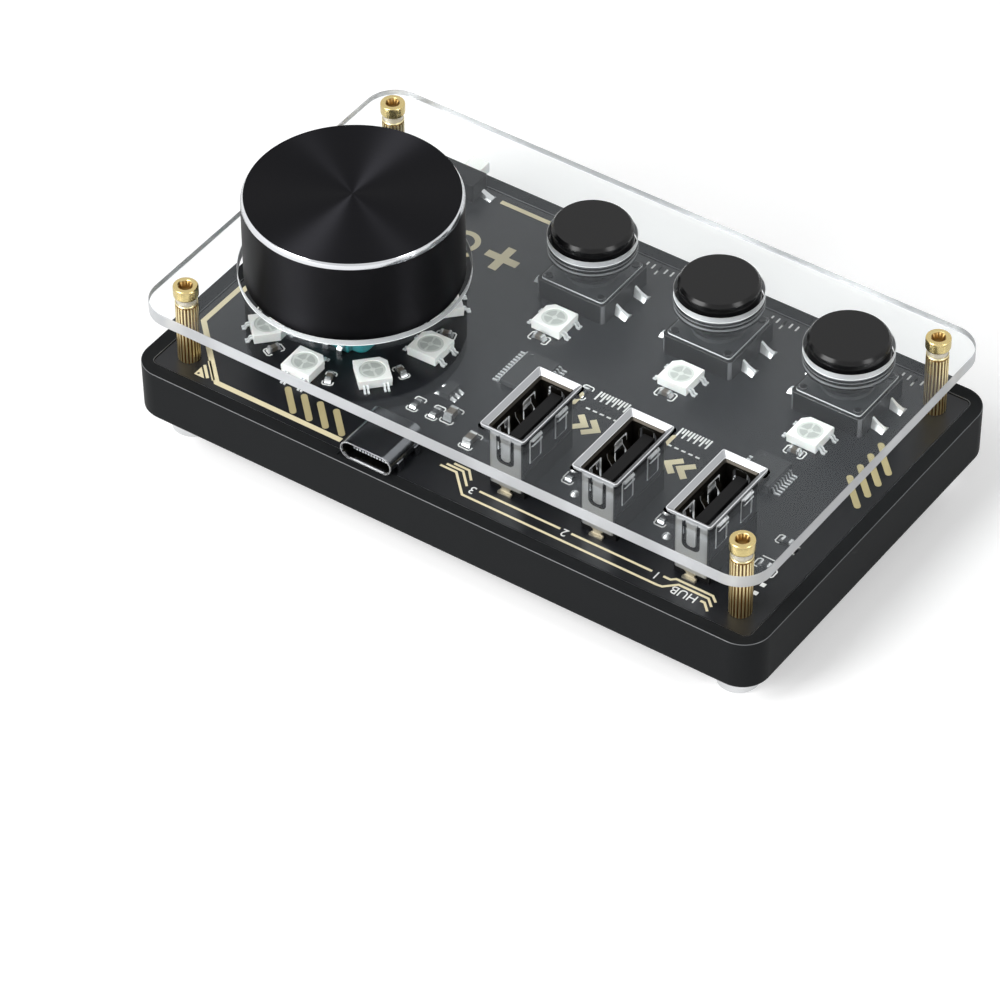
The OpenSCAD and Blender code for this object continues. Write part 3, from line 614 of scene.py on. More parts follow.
# solder that has flowed: bright and smooth
SOLDER = finish("flowed_solder", "#d8dadb", 0.25, "#cbcdce", grain=0.4, depth=0.003, metallic=0.7)
# turned steel of the feet, nickel plated: sharp, bright reflections
FOOT_STEEL = finish("turned_nickel_plated_steel", "#d4d5d6", 0.22, "#c8c9ca", grain=0.1, depth=0.002,
                    uneven=0.04, metallic=1.0)
# polished ABS: tops of the keys, with clean reflections
KEY_ABS = finish("polished_black_abs", "#080809", 0.2, "#0a0a0b", grain=0.6, depth=0.001, uneven=0.03,
                 specular_ior_level=0.27)
# the switches' stamped cover plates, painted black: an even, low gloss
COVER = finish("black_painted_steel", "#26282a", 0.35, "#2b2d2f", grain=0.2, depth=0.002,
               specular_ior_level=0.4)
# black anodised aluminium under the knob and inside it: dark, with a soft metal sheen
ANODISED = finish("black_anodised_aluminium", "#18181a", 0.3, "#1b1b1d", grain=0.08, depth=0.002,
                  metallic=1.0)
# diamond-cut chamfer, left bare after the dye
BARE_CUT = finish("bright_cut_aluminium", "#d3d5d8", 0.14, "#cacccf", uneven=0.03, metallic=1.0)
# turned aluminium of the shaft and bushing: fine marks round the axis, a soft shine
TURNED = finish("turned_aluminium", "#c9cbce", 0.25, "#bfc1c4", grain=0.1, depth=0.002, metallic=1.0)
# moulded PBT, dyed teal: an even colour with a soft sheen
TEAL = finish("moulded_teal_pbt", "#2f9aa0", 0.35, "#2a8d93", depth=0.003)
# white heat-proof resin of the light packages: soft and a little milky
WHITE_RESIN = finish("moulded_white_resin", "#f6f6f4", 0.4, "#f0f0ee", grain=0.2, depth=0.002,
                     subsurface_weight=0.1, subsurface_scale=0.0004)
# silicone gel in the lights' windows, level and glossy
GEL = finish("clear_silicone_gel", "#d9dcd8", 0.08, "#d1d5d0", grain=0.4, uneven=0.02, coat_weight=0.5)
# plated lead frame seen through the gel
LEAD_FRAME = finish("plated_lead_frame", "#bcc0bc", 0.15, "#b0b4b1", uneven=0.03, coat_weight=0.5)
# natural nylon: milky white, slightly translucent
NATURAL = finish("natural_nylon", "#f4f4f1", 0.4, "#eeeeea", depth=0.002, subsurface_weight=0.2,
                 subsurface_scale=0.0006)
# moulded epoxy of the chips and the resistors: fine and matt
EPOXY = finish("moulded_black_epoxy", "#232426", 0.5, "#28292b", grain=0.15, depth=0.004, uneven=0.06)
# fired ceramic of the capacitors: dull brown
CERAMIC = finish("fired_brown_ceramic", "#5d564d", 0.4, "#524c44", grain=0.15, depth=0.002)


def spun_aluminium():
    # the knob's top: black anodised after turning, so fine rings draw the light out into wedges
    material, tree = new_material("spun_black_anodised_top")
    place = add(tree, "ShaderNodeTexCoord").outputs["Object"]
    out = add(tree, "ShaderNodeVectorMath", {0: place, 1: (KNOB[0] * MM, KNOB[1] * MM, KNOB_TOP * MM)},
              operation="SUBTRACT").outputs[0]
    radius = add(tree, "ShaderNodeVectorMath", {0: out}, operation="LENGTH").outputs["Value"]
    # tool marks every 0.12 mm, drawn coarser than the real 0.03 mm so that they show
    rings = add(tree, "ShaderNodeTexNoise", {"W": radius, "Scale": 1 / (0.12 * MM), "Detail": 2.0},
                noise_dimensions="1D").outputs["Fac"]
    bump = add(tree, "ShaderNodeBump", {"Height": rings, "Distance": 0.002 * MM, "Strength": 1.0})
    # light spreads across the rings, so the tangent points away from the middle
    flat = add(tree, "ShaderNodeVectorMath", {0: out, 1: (1, 1, 0)}, operation="MULTIPLY").outputs[0]
    across = add(tree, "ShaderNodeVectorTransform", {0: flat}, vector_type="VECTOR", convert_from="OBJECT",
                 convert_to="WORLD").outputs[0]
    across = add(tree, "ShaderNodeVectorMath", {0: across}, operation="NORMALIZE").outputs[0]
    tone = add(tree, "ShaderNodeMix", {0: rings, 6: to_linear("#202023"), 7: to_linear("#29292c")},
               data_type="RGBA")
    shader = add(tree, "ShaderNodeBsdfPrincipled", {
        "Base Color": tone.outputs[2], "Metallic": 1.0, "Roughness": 0.64, "Anisotropic": 1.0,
        "Normal": bump.outputs[0], "Tangent": across})
    add(tree, "ShaderNodeOutputMaterial", {"Surface": shader.outputs[0]})
    return material


def cast_acrylic():
    # cast acrylic sheet: clear and flat, and it lets the lamps' light through to the board
    material, tree = new_material("clear_cast_acrylic")
    shader = add(tree, "ShaderNodeBsdfPrincipled", {
        "Base Color": to_linear("#fafcfc"), "Roughness": 0.0, "IOR": 1.49, "Transmission Weight": 1.0,
        "Specular Tint": to_linear("#8e969f")})
    through = add(tree, "ShaderNodeBsdfTransparent", {"Color": (0.9, 0.92, 0.92, 1)})
    path = add(tree, "ShaderNodeLightPath")
    mixed = add(tree, "ShaderNodeMixShader", {0: path.outputs["Is Shadow Ray"], 1: shader.outputs[0],
                                              2: through.outputs[0]})
    add(tree, "ShaderNodeOutputMaterial", {"Surface": mixed.outputs[0]})
    return material


def clear_cut():
    # walls of the square cut-outs, polished by the laser so that they do not show
    material, tree = new_material("laser_polished_acrylic_wall")
    shader = add(tree, "ShaderNodeBsdfTransparent", {"Color": (1, 1, 1, 1)})
    add(tree, "ShaderNodeOutputMaterial", {"Surface": shader.outputs[0]})
    return material


# the same sheet's sawn edges: a fine frost that catches light from inside the sheet
SAWN_EDGE = finish("sawn_acrylic_edge", "#cbcdcf", 0.35, "#aeb0b3", grain=0.16, depth=0.006,
                   streak=(1, 1, 0.3), uneven=0.1, ior=1.49, transmission_weight=0.35)
# a painted highlight along each edge of a round cut-out
EDGE_HIGHLIGHT = finish("polished_acrylic_edge_line", "#eceded", 0.3, "#e2e3e4", grain=0.12, ior=1.49,
                   transmission_weight=0.3)
# the round cut-outs' walls: a laser frost, greyer than the sawn rim
LASER_EDGE = finish("laser_frosted_acrylic_wall", "#a8aaac", 0.4, "#9b9da0", grain=0.12, depth=0.004,
                    streak=(1, 1, 0.3), uneven=0.08, ior=1.49, transmission_weight=0.3)
# the drilled screw holes: the same frost, warmed as a painted reflection of the brass beside it
SCREW_HOLE_REFLECTION = finish("drilled_acrylic_beside_brass", "#a3987f", 0.4, "#968b72", grain=0.12, depth=0.004,
                    uneven=0.08, ior=1.49, transmission_weight=0.3)


def turned_side():
    # the knob's side: the same black dye over fine rings, which draw reflections out upright
    material, tree = new_material("turned_black_anodised_side")
    place = add(tree, "ShaderNodeTexCoord").outputs["Object"]
    height = add(tree, "ShaderNodeSeparateXYZ", {0: place}).outputs["Z"]
    rings = add(tree, "ShaderNodeTexNoise", {"W": height, "Scale": 1 / (0.1 * MM), "Detail": 2.0},
                noise_dimensions="1D").outputs["Fac"]
    tone = add(tree, "ShaderNodeMix", {0: rings, 6: to_linear("#1a1a1c"), 7: to_linear("#202022")},
               data_type="RGBA")
    upright = add(tree, "ShaderNodeVectorTransform", {0: (0, 0, 1)}, vector_type="VECTOR",
                  convert_from="OBJECT", convert_to="WORLD").outputs[0]
    shader = add(tree, "ShaderNodeBsdfPrincipled", {
        "Base Color": tone.outputs[2], "Metallic": 1.0, "Roughness": 0.46, "Anisotropic": 0.9,
        "Tangent": upright})
    add(tree, "ShaderNodeOutputMaterial", {"Surface": shader.outputs[0]})
    return material


SPUN = spun_aluminium()
SPUN_SIDE = turned_side()
ACRYLIC, CLEAR_CUT = cast_acrylic(), clear_cut()

# ---------------------------------------------------------------- tray and posts


def make_tray():
    """Floor, drafted walls with a rounded foot and lip, a ledge for the board, four bosses and a notch
    for the inlet."""
    foot, lip, inner_lip, seat_r, well_r = 0.5, 0.16, 0.2, 1.0, 2
    boss_r, pilot_r, notch = 3.5, 1.2, 4.9
    seat, floor, well = BOARD - BOARD_THICK, TRAY_LOW + TRAY_FLOOR, RIM_W + LEDGE_W
    wall = rounded([(5.0, TRAY_LOW), (TRAY_DRAFT, TRAY_LOW), (0, RIM), (RIM_W, RIM), (RIM_W, RIM - 1)],
                   [0, foot, lip, inner_lip, 0])

    def outline(inset, z, radius):
        return at_height(box_outline(TRAY_L - 2 * inset, TRAY_W - 2 * inset, radius, 12), z)

    rings = []
    for inset, z in wall:
        t = max(0.0, min(1.0, (inset - lip) / (RIM_W - lip))) if z > RIM - 0.5 else 0.0
        rings.append(outline(inset, z, (TRAY_R - inset / 2) * (1 - t) + seat_r * t))
    rings += [outline(RIM_W, seat, seat_r), outline(well, seat, well_r), outline(well, floor, well_r)]
    tray = cut(loft(rings), block(INLET[0] - notch, INLET[0] + notch, INLET[1] - 0.3, 4 - TRAY_W / 2, BOARD,
                                  RIM + 2))
    # the lip's rounded edges take the lightened ABS: a painted highlight
    zoned(tray, lambda face: int(face.center.z > (RIM - 0.2) * MM and 0.2 < abs(face.normal.z) < 0.95))
    # the bosses start inside the floor, so that they join it
    foot_z = floor - 0.2
    boss = lathe([(boss_r, foot_z), (boss_r, seat), (pilot_r, seat), (pilot_r, foot_z), (boss_r, foot_z)],
                 steps=48)
    piece("tray", joined(tray, at_corners(boss, TRAY_ABS)), [TRAY_ABS, TRAY_EDGE_HIGHLIGHT], replaces=["base_tray"])


def from_post(face):
    """How far a face's middle is from the axis of the nearest post, in millimetres."""
    return math.hypot(abs(face.center.x) / MM - POST_X, abs(face.center.y) / MM - POST_Y)


def post_zone(face):
    return int(1.2 < from_post(face) < POST_R - 0.1 and face.center.z < (PLATE_LOW - 0.3) * MM)


def make_posts():
    """Fluted brass standoffs with a plain collar at the top."""
    flutes, depth, collar = 20, 0.22, 0.22
    count, seam = flutes * 8, PLATE_LOW - collar

    def fluted(z):
        # the valleys are a little wider than the ridges
        return ring_of(count, z, lambda a: POST_R - depth * (max(0.0, math.cos(flutes * a) + 0.2) / 1.2))

    def plain(z, radius):
        return at_height(circle(radius, count), z)

    rings = [plain(BOARD, BORE_R), plain(BOARD, POST_R - 0.12), fluted(BOARD + 0.15), fluted(seam - 0.25),
             plain(seam - 0.1, POST_R - depth), plain(seam, POST_R - depth), plain(seam, POST_R - 0.05),
             plain(seam + 0.06, POST_R), plain(PLATE_LOW - 0.08, POST_R), plain(PLATE_LOW, POST_R - 0.08),
             plain(PLATE_LOW, BORE_R)]
    # the valleys between the flutes take the darkened brass: painted shade
    posts = zoned(at_corners(loft(rings, closed=True), BRASS), post_zone)
    piece("posts", posts, [LIT_RIDGE_BRASS, SHADED_GROOVE_BRASS], replaces=["standoffs"], smooth=40)


def make_cap_screws():
    """Socket screws with a rounded head and a hexagon socket that narrows to its floor."""
    steps, head_r, shank, socket, socket_floor, deep = 72, 1.9, 0.975, 0.95, 0.66, 0.95
    top, low_end = high("cap_screws", 2), low("cap_screws", 2)

    def hexagon(z, reach):
        return ring_of(steps, z, lambda a: reach / math.cos(a % (math.pi / 3) - math.pi / 6))

    head = rounded([(shank, PLATE_TOP), (head_r, PLATE_TOP), (head_r, top), (1.2, top), (1.08, top - 0.1)],
                   [0, 0.42, 0.5, 0.06, 0], 6)
    profile = [(shank - 0.2, low_end), (shank, low_end + 0.2)] + head
    rings = [at_height(circle(radius, steps), z) for radius, z in profile]
    rings += [hexagon(top - 0.16, socket), hexagon(top - deep, socket_floor)]
    screws = at_corners(loft(rings), BRASS)
    # the socket's walls and floor take the darkened brass: painted shade
    zoned(screws, lambda face: int(
        PLATE_TOP + 0.5 < face.center.z / MM < top - 0.11 and from_post(face) < 1.2))
    piece("head_screws", screws, [BRASS, SHADED_SOCKET_BRASS], replaces=["cap_screws"])


def make_plate():
    """The clear plate, with bright sawn edges and its cut-outs."""
    round_knob, round_key, screw_r, port_l, port_w, beside = KNOB_R + 0.8, 6.6, 1.5, 15.36, 8.06, 0.4
    holes = [circle(round_knob, 160, *KNOB)]
    holes += [circle(round_key, 96, x, KEY_Y) for x in KEY_XS]
    holes += [[(x + a, PORT_Y + b) for a, b in box_outline(port_w, port_l, 0.6, 4)] for x in PORT_XS]
    holes += [circle(screw_r, 40, i * POST_X, j * POST_Y) for i in (-1, 1) for j in (-1, 1)]
    sheet = slab([box_outline(PLATE_L, PLATE_W, PLATE_R, 16)] + holes, PLATE_LOW, PLATE_TOP, 0.1)

    # the rim is sawn, the round cut-outs are frosted with a painted highlight along their edges, the square
    # ones are clear and the screw holes tinted with a painted reflection of the brass
    def edge_zone(face):
        x, y, up = face.center.x / MM, face.center.y / MM, abs(face.normal.z)
        flat, sawn, clear, frosted, line, beside_brass = range(6)
        if up > 0.97:
            return flat
        if abs(abs(x) - POST_X) < screw_r + 0.1 and abs(abs(y) - POST_Y) < screw_r + 0.1:
            return beside_brass
        if abs(x) > PLATE_L / 2 - PLATE_R or abs(y) > PLATE_W / 2 - 0.5:
            return sawn
        near_round = math.hypot(x - KNOB[0], y - KNOB[1]) < round_knob + beside or any(
            math.hypot(x - key_x, y - KEY_Y) < round_key + beside for key_x in KEY_XS)
        return clear if not near_round else line if up > 0.3 else frosted

    zoned(sheet, edge_zone)
    piece("clear_plate", sheet, [ACRYLIC, SAWN_EDGE, CLEAR_CUT, LASER_EDGE, EDGE_HIGHLIGHT, SCREW_HOLE_REFLECTION],
          replaces=["top_plate"], smooth=8)


# ---------------------------------------------------------------- knob and keys


def make_knob():
    """A turned knob with a bright-cut chamfer, hollow from below round the boss that takes its insert."""
    across, down, break_edge, wall, recess, bore, roof = 0.42, 0.8, 0.3, 2.3, 3.0, 4.2, KNOB_TOP - 2.2
    profile = [(0, KNOB_TOP), (KNOB_R - across, KNOB_TOP), (KNOB_R, KNOB_TOP - down),
               (KNOB_R, KNOB_LOW + break_edge), (KNOB_R - break_edge, KNOB_LOW), (KNOB_R - wall, KNOB_LOW),
               (KNOB_R - wall, KNOB_LOW + recess), (bore, KNOB_LOW + recess), (bore, roof), (0, roof)]
    mesh = lathe(profile, KNOB, 192, [0, 1, 3, 1, 2, 2, 2, 2, 2])
    piece("knob_turned", mesh, [SPUN, BARE_CUT, ANODISED, SPUN_SIDE], "turning_knob", ["knob"],
          smooth=30)


def make_keys():
    """Three keys: the cap, and the switch's housing, plunger, cover plate and legs."""
    r, rim, bore = 6.2, 6.75, 2.75
    for i, x in enumerate(KEY_XS, 1):
        top = high(f"key_cap_{i}", 2)
        deep = top - low(f"key_cap_{i}", 2)
        # a plain cap; under the plate a flange with two ribs, then steps down to the plunger:
        # (radius, depth below the top, how far the corner is rounded)
        corners = [(0, 0, 0), (r - 0.5, 0, 0), (r - 0.08, 0.5, 0.4), (r, 4.3, 0.1),
                   (rim, 4.3, 0.14), (rim, 4.8, 0.12), (rim - 0.25, 4.95, 0.04),
                   (rim - 0.25, 5.1, 0.04), (rim, 5.25, 0.12), (rim, 5.8, 0.14),
                   (5.6, 5.8, 0.1), (5.6, 6.5, 0.14), (4.7, 6.5, 0.1), (4.7, 7.2, 0.14),
                   (3.6, 7.4, 0.3), (3.2, deep, 0.1), (bore, deep, 0), (bore, 3.9, 0), (0, 3.9, 0)]
        radii, depths, rounding = zip(*corners)
        profile = rounded([(a, top - b) for a, b in zip(radii, depths)], rounding, 6)

        def from_key(face):
            return abs(face.center.x / MM - x), abs(face.center.y / MM - KEY_Y)

        # the flange ribs' rounded edges under the plate take the lightened nylon: a painted highlight
        cap = zoned(lathe(profile, (x, KEY_Y)), lambda face: int(
            face.center.z < (top - 4.2) * MM and 0.3 < face.normal.z < 0.9
            and math.hypot(*from_key(face)) > 4.5))
        piece(f"cap_{i}", cap, [KEY_ABS, NYLON_EDGE_HIGHLIGHT], f"key_{i}", [f"key_cap_{i}"])
        housing = soften(f"key_housing_{i}", 0.22, [NYLON, NYLON_EDGE_HIGHLIGHT])
        # the housing's bevelled top and corner edges take the lightened nylon: a painted highlight
        zoned(housing.data, lambda face: int(
            face.center.z > (BOARD + 0.4) * MM and 0.3 < abs(face.normal.z) < 0.95
            or abs(face.normal.z) < 0.3 and 0.3 < abs(face.normal.x) < 0.95 and max(from_key(face)) > 5.5))
        soften(f"key_plunger_{i}", 0.15, [NYLON])
        cover = soften(f"key_cover_{i}", 0.1, [COVER, SHEARED_HIGHLIGHT])
        # the cover's edges take the bright steel: its bare sheared edge, lightened as a painted highlight
        zoned(cover.data, lambda face: int(abs(face.normal.z) < 0.95 and max(from_key(face)) > 5.2))
    leg = wedge(5.98, 8.15, 1.75, 0.55, 0.98, low_z=0.32, flat=0.35)
    legs = joined(*[moved(moved(leg, 0, y), turn=turn) for turn in (0, 180) for y in (-2.5, 2.5)])
    piece("soldered_key_legs", in_row(legs, TIN_AND_LIP_HIGHLIGHT, 3, (KEY_XS[0], KEY_Y), KEY_STEP), [TIN_AND_LIP_HIGHLIGHT],
          replaces=["key_legs"])


# ---------------------------------------------------------------- lights


def make_lights():
    """White packages with one corner cut off, a round gel window and the lead frame under it."""
    s, corner, window_r, sunk = 2.5, 1.0, 1.95, 0.8
    edge = [(-s, -s), (s, -s), (s, s), (corner - s, s), (-s, s - corner)]
    core = slab([[(a * 0.985, b * 0.985) for a, b in edge]], 0.05, sunk + 0.05, 0.06, 1)
    rim = slab([edge, circle(window_r, 40)], sunk, LIGHT_H, 0.07)
    # the gel reaches a little into the rim, and stands lower than it
    window = slab([circle(window_r + 0.02, 40)], sunk, LIGHT_H - 0.12)
    sectors = []
    for first, last in ((20, 92), (108, 182), (200, 262), (280, 362)):
        arc = [math.radians(first + (last - first) * k / 10) for k in range(11)]
        outside, inside = [[(r * math.cos(a), r * math.sin(a)) for a in arc] for r in (1.55, 0.42)]
        sectors.append(slab([outside + inside[::-1]], LIGHT_H - 0.14, LIGHT_H - 0.1))
    row = dict(count=3, start=(KEY_XS[0], middle("key_led_bodies", 1)), step=KEY_STEP)
    for name, part, material, nodes, slot in (
            ("packages", joined(core, rim), WHITE_RESIN, "led_bodies", "white_resin"),
            ("windows", window, GEL, "led_lenses", "led_gel"),
            ("frames", joined(*sectors), LEAD_FRAME, None, "led_gel")):
        for place, mesh in (("ring_", in_ring(part, material)), ("key_", in_row(part, material, **row))):
            piece(place + name, mesh, [material], replaces=[place + nodes] if nodes else ())
    # each lead is a pair of prongs that bend down to the board
    bend = rounded([(2.45, 0.66), (2.9, 0.66), (3.15, 0.1), (3.64, 0.1)], [0, 0.25, 0.2, 0], 3)
    prongs = joined(*[strip(bend, 0.22, 0.32, 0, y + e * 0.27, turn)
                      for turn in (0, 180) for y in (-1.5, 1.5) for e in (-1, 1)])
    leads = joined(in_ring(prongs, TIN_AND_LIP_HIGHLIGHT), in_row(prongs, TIN_AND_LIP_HIGHLIGHT, **row))
    piece("light_leads", leads, [TIN_AND_LIP_HIGHLIGHT], replaces=["led_leads"])


# ---------------------------------------------------------------- ports


def make_ports():
    """Folded shells with a flared mouth, spring fingers cut free in each wall, and a stamped leg at both
    ends."""
    skirt, apron, throat, mouth, wall = 3.7, 1.25, 11.1, high("port_shell_1", 2) - BOARD, 0.33
    slot_z, finger_y, leg_y = BOARD + 4.5, 3.2, 6.38
    # outside and inside of the shell as (half width in X, half length in Y, height, corner radius)
    outer = [(2.9, 6.55, apron, 0.6), (2.9, 6.55, throat - 0.35, 0.6), (3.0, 6.65, throat + 0.05, 0.65),
             (3.45, 7.1, throat + 0.35, 0.6), (3.76, 7.41, throat + 0.6, 0.5),
             (3.81, 7.46, mouth - 0.05, 0.4), (3.79, 7.44, mouth, 0.38)]
    inner = [(3.66, 7.31, mouth, 0.3), (2.98, 6.63, throat + 0.5, 0.28), (2.92, 6.57, throat + 0.45, 0.27),
             (2.6, 6.25, throat + 0.1, 0.25), (2.57, 6.22, throat - 0.1, 0.25), (2.57, 6.22, apron, 0.25)]
    rings = [at_height(box_outline(2 * a, 2 * b, r, 5), BOARD + z) for a, b, z, r in outer + inner]
    upright, dark, lip, edge, shaded_side = range(5)
    # the shell's inner faces take the darkened steel as painted shade, the mouth's edges the bright sheared
    # steel as a painted highlight
    bands = [upright, lip, lip, lip, lip, edge, edge, lip, edge, dark, dark, dark, upright]
    shell = loft(rings, closed=True, bands=bands)
    window = slab([[(a, b + slot_z + 3.1) for a, b in box_outline(3.0, 6.2, 0.95, 5)]], -8, 8)
    gate = slab([[(a, b + BOARD + 7.4) for a, b in box_outline(3.1, 5.4, 0.3, 3)]], -4, 4)
    open_side = block(-4, 4, -6.2, 6.2, BOARD, BOARD + skirt)
    # walls cut for the windows take the darkened steel, painted shade; walls cut round the end fingers the
    # bright sheared steel, a painted highlight
    cutters = [zoned(cutter, dark) for cutter in (on_face(window, 0, 0, 0), open_side)]
    shell = cut(shell, *cutters, *[zoned(on_face(gate, 0, e * finger_y, 90), edge) for e in (-1, 1)])
    # the side walls take the darkened steel: painted shade
    zoned(shell, lambda face: shaded_side if face.material_index == upright and abs(face.normal.x) > 0.7
          else face.material_index)
    # the end fingers hang from above and widen downwards; the side fingers rise and kink outwards
    half = rounded([(0.95, slot_z + 6.3), (0.95, slot_z + 4.9), (0.75, slot_z + 2.9), (0.75, slot_z + 0.75),
                    (0, slot_z + 0.55)], [0, 0.5, 1.0, 0.5, 0])
    bottle = slab([half + [(-a, b) for a, b in reversed(half[:-1])]], -wall / 2, wall / 2, 0.05, 1)
    fingers = [on_face(bottle, 0, e * (6.55 - wall / 2 - 0.02), 0) for e in (-1, 1)]
    # the end fingers' cut sides take the bright sheared steel, a painted highlight, and their inner faces
    # the darkened steel, painted shade
    for finger in fingers:
        zoned(finger, lambda face: edge if abs(face.normal.y) < 0.9 else
              dark if face.normal.y * face.center.y < 0 else upright)
    root, leaf_x = BOARD + 4.7, 2.9 - wall / 2
    leaf = strip([(leaf_x, root), (leaf_x + 0.02, root + 2.2), (leaf_x + 0.05, root + 3.3)], 0.26, 2.3)
    kink = strip([(leaf_x + 0.05, root + 3.1), (leaf_x + 0.52, root + 3.4), (leaf_x + 0.54, root + 3.55),
                  (leaf_x + 0.02, root + 5.1)], 0.24, 2.3)
    # the leaf's edges and the whole kink take the bright sheared steel, a painted highlight; the leaf's
    # faces the darkened side steel, painted shade
    zoned(leaf, lambda face: edge if abs(face.normal.y) > 0.7 else shaded_side)
    zoned(kink, edge)
    fingers += [moved(part, 0, j * finger_y, 0, turn)
                for turn in (180, 0) for j in (-1, 1) for part in (leaf, kink)]
    # springs that press on the plug, on the side away from the tongue: broad faces darkened as painted
    # shade, sheared edges lightened as a painted highlight
    wave = rounded([(-2.4, 9.9), (-2.3, 9.1), (-1.65, 8.2), (-1.5, 7.6), (-1.75, 6.9), (-2.25, 6.2),
                    (-2.2, 4.6), (-2.4, 3.4)], [0, 0.5, 0.5, 0.5, 0.5, 0.5, 0.5, 0], 3)
    wave = [(a, BOARD + b) for a, b in wave]
    springs = joined(*[strip(wave, 0.18, 0.9, 0, y) for y in (-3.9, -0.1, 3.7)])
    zoned(springs, lambda face: int(abs(face.normal.y) > 0.7))
    side = rounded([(1.05, apron + 0.6), (1.05, apron - 0.1), (0.72, apron - 0.3), (0.72, 0.5), (1.05, 0.3),
                    (1.05, 0)], [0, 0.1, 0.15, 0.15, 0.1, 0], 3)
    leg = slab([[(a, b + BOARD) for a, b in side] + [(-a, b + BOARD) for a, b in reversed(side)]],
               -0.15, 0.15, 0.04, 1)
    toe = loft([at_height(box_outline(2.3, 0.5, 0.1, 3), BOARD + h) for h in (0, 0.24)])
    legs = joined(*[part for e in (-1, 1)
                    for part in (on_face(leg, 0, e * leg_y, 0), moved(toe, 0, e * (leg_y + 0.37)))])
    shell = joined(shell, *fingers)
    for i, x in enumerate(PORT_XS, 1):
        piece(f"port_can_{i}", moved(shell, x, PORT_Y),
              [LIT_UPRIGHT_STEEL, SHADED_STEEL, TINNED, SHEARED_HIGHLIGHT, SHADED_SIDE_STEEL],
              replaces=[f"port_shell_{i}"], smooth=25)
        piece(f"port_springs_{i}", moved(springs, x, PORT_Y), [SHADED_STEEL, SHEARED_HIGHLIGHT])
        piece(f"port_legs_{i}", moved(legs, x, PORT_Y), [TINNED_BRASS])
        soften(f"port_tongue_{i}", 0.12, [INSULATOR])


def make_inlet():
    """The inlet's tube with its rolled lip, the tongue, and the contacts' ends."""
    soften("inlet_shell", 0.06, [NICKEL])
    soften("inlet_tongue", 0.05, [NYLON])
    width, height, steps = 8.94, 3.2, 48
    span, lip = width - height, []
    for grow, y in ((0, 0.12), (-0.03, 0), (-0.2, 0), (-0.25, 0.05), (-0.25, 0.3), (-0.02, 0.3)):
        radius = height / 2 + grow
        ring = []
        for k in range(steps):
            angle = 2 * math.pi * k / steps
            side = 1 if math.cos(angle) >= 0 else -1
            ring.append((INLET[0] + side * span / 2 + radius * math.cos(angle), INLET[1] + y,
                         BOARD + height / 2 + radius * math.sin(angle)))
        lip.append(ring)
    # the lip takes the white tin instead of the tube's nickel: a painted highlight
    piece("inlet_lip", loft(lip, closed=True), [TIN_AND_LIP_HIGHLIGHT])
    # the contacts' ends, where they wrap over the tip of the tongue
    contacts, pitch, tip = 12, 0.5, low("inlet_tongue", 1)
    end = block(-0.13, 0.13, tip - 0.05, tip + 0.2, 1.24, 1.62)
    ends = in_row(end, BRIGHT, contacts, (INLET[0] - (contacts - 1) * pitch / 2, 0), (pitch, 0))
    piece("inlet_contact_ends", ends, [BRIGHT])


# ---------------------------------------------------------------- small parts on the board

# length, width and height of each kind; each place is X, Y and the turn in degrees
RESISTOR_SIZE, CAP_SIZE, LARGE_CAP_SIZE = (1.7, 0.9, 0.5), (1.7, 0.9, 0.8), (2.1, 1.3, 1.1)
RESISTORS = [(x, y, turn, RESISTOR_SIZE) for x, y, turn in (
    (-13.8, -16.6, 90), (-10.4, -16.6, 90), (4.8, -0.8, 90), (13.6, -16.9, 90), (29.4, -16.9, 90),
    (46.3, -11.1, 0), (46.4, -16.9, 0))]
CAPACITORS = [(-8.1, -15.8, 90, LARGE_CAP_SIZE), (-2.7, -18.8, 90, LARGE_CAP_SIZE)]
CAPACITORS += [(x - 0.2, 5.5, 0, CAP_SIZE) for x in KEY_XS]
# one capacitor stands between each two lights of the ring
RING_CAP_TURN, RING_CAP_R = 18, 13.7


def chip_part(length, width, height):
    """A small part's body, and its two plated ends with their solder."""
    end, reach = 0.42, 0.32
    body = slab([box_outline(length - 0.5, width - 0.06, 0.04, 1)], 0.02, height - 0.04, 0.03, 1)
    cap = slab([box_outline(end, width, 0.06, 2)], 0.0, height, 0.04, 1)
    foot, top, half = length / 2 + reach, length / 2 - 0.02, width / 2 + 0.06
    slope = [(top, 0), (foot, 0), (top + 0.12, height * 0.3), (top, height * 0.7)]
    ends = []
    for e in (-1, 1):
        ends.append(moved(cap, e * (length / 2 - end / 2)))
        ends.append(loft([[(e * x, y, z) for x, z in slope] for y in (-half, half)]))
    return body, joined(*ends)


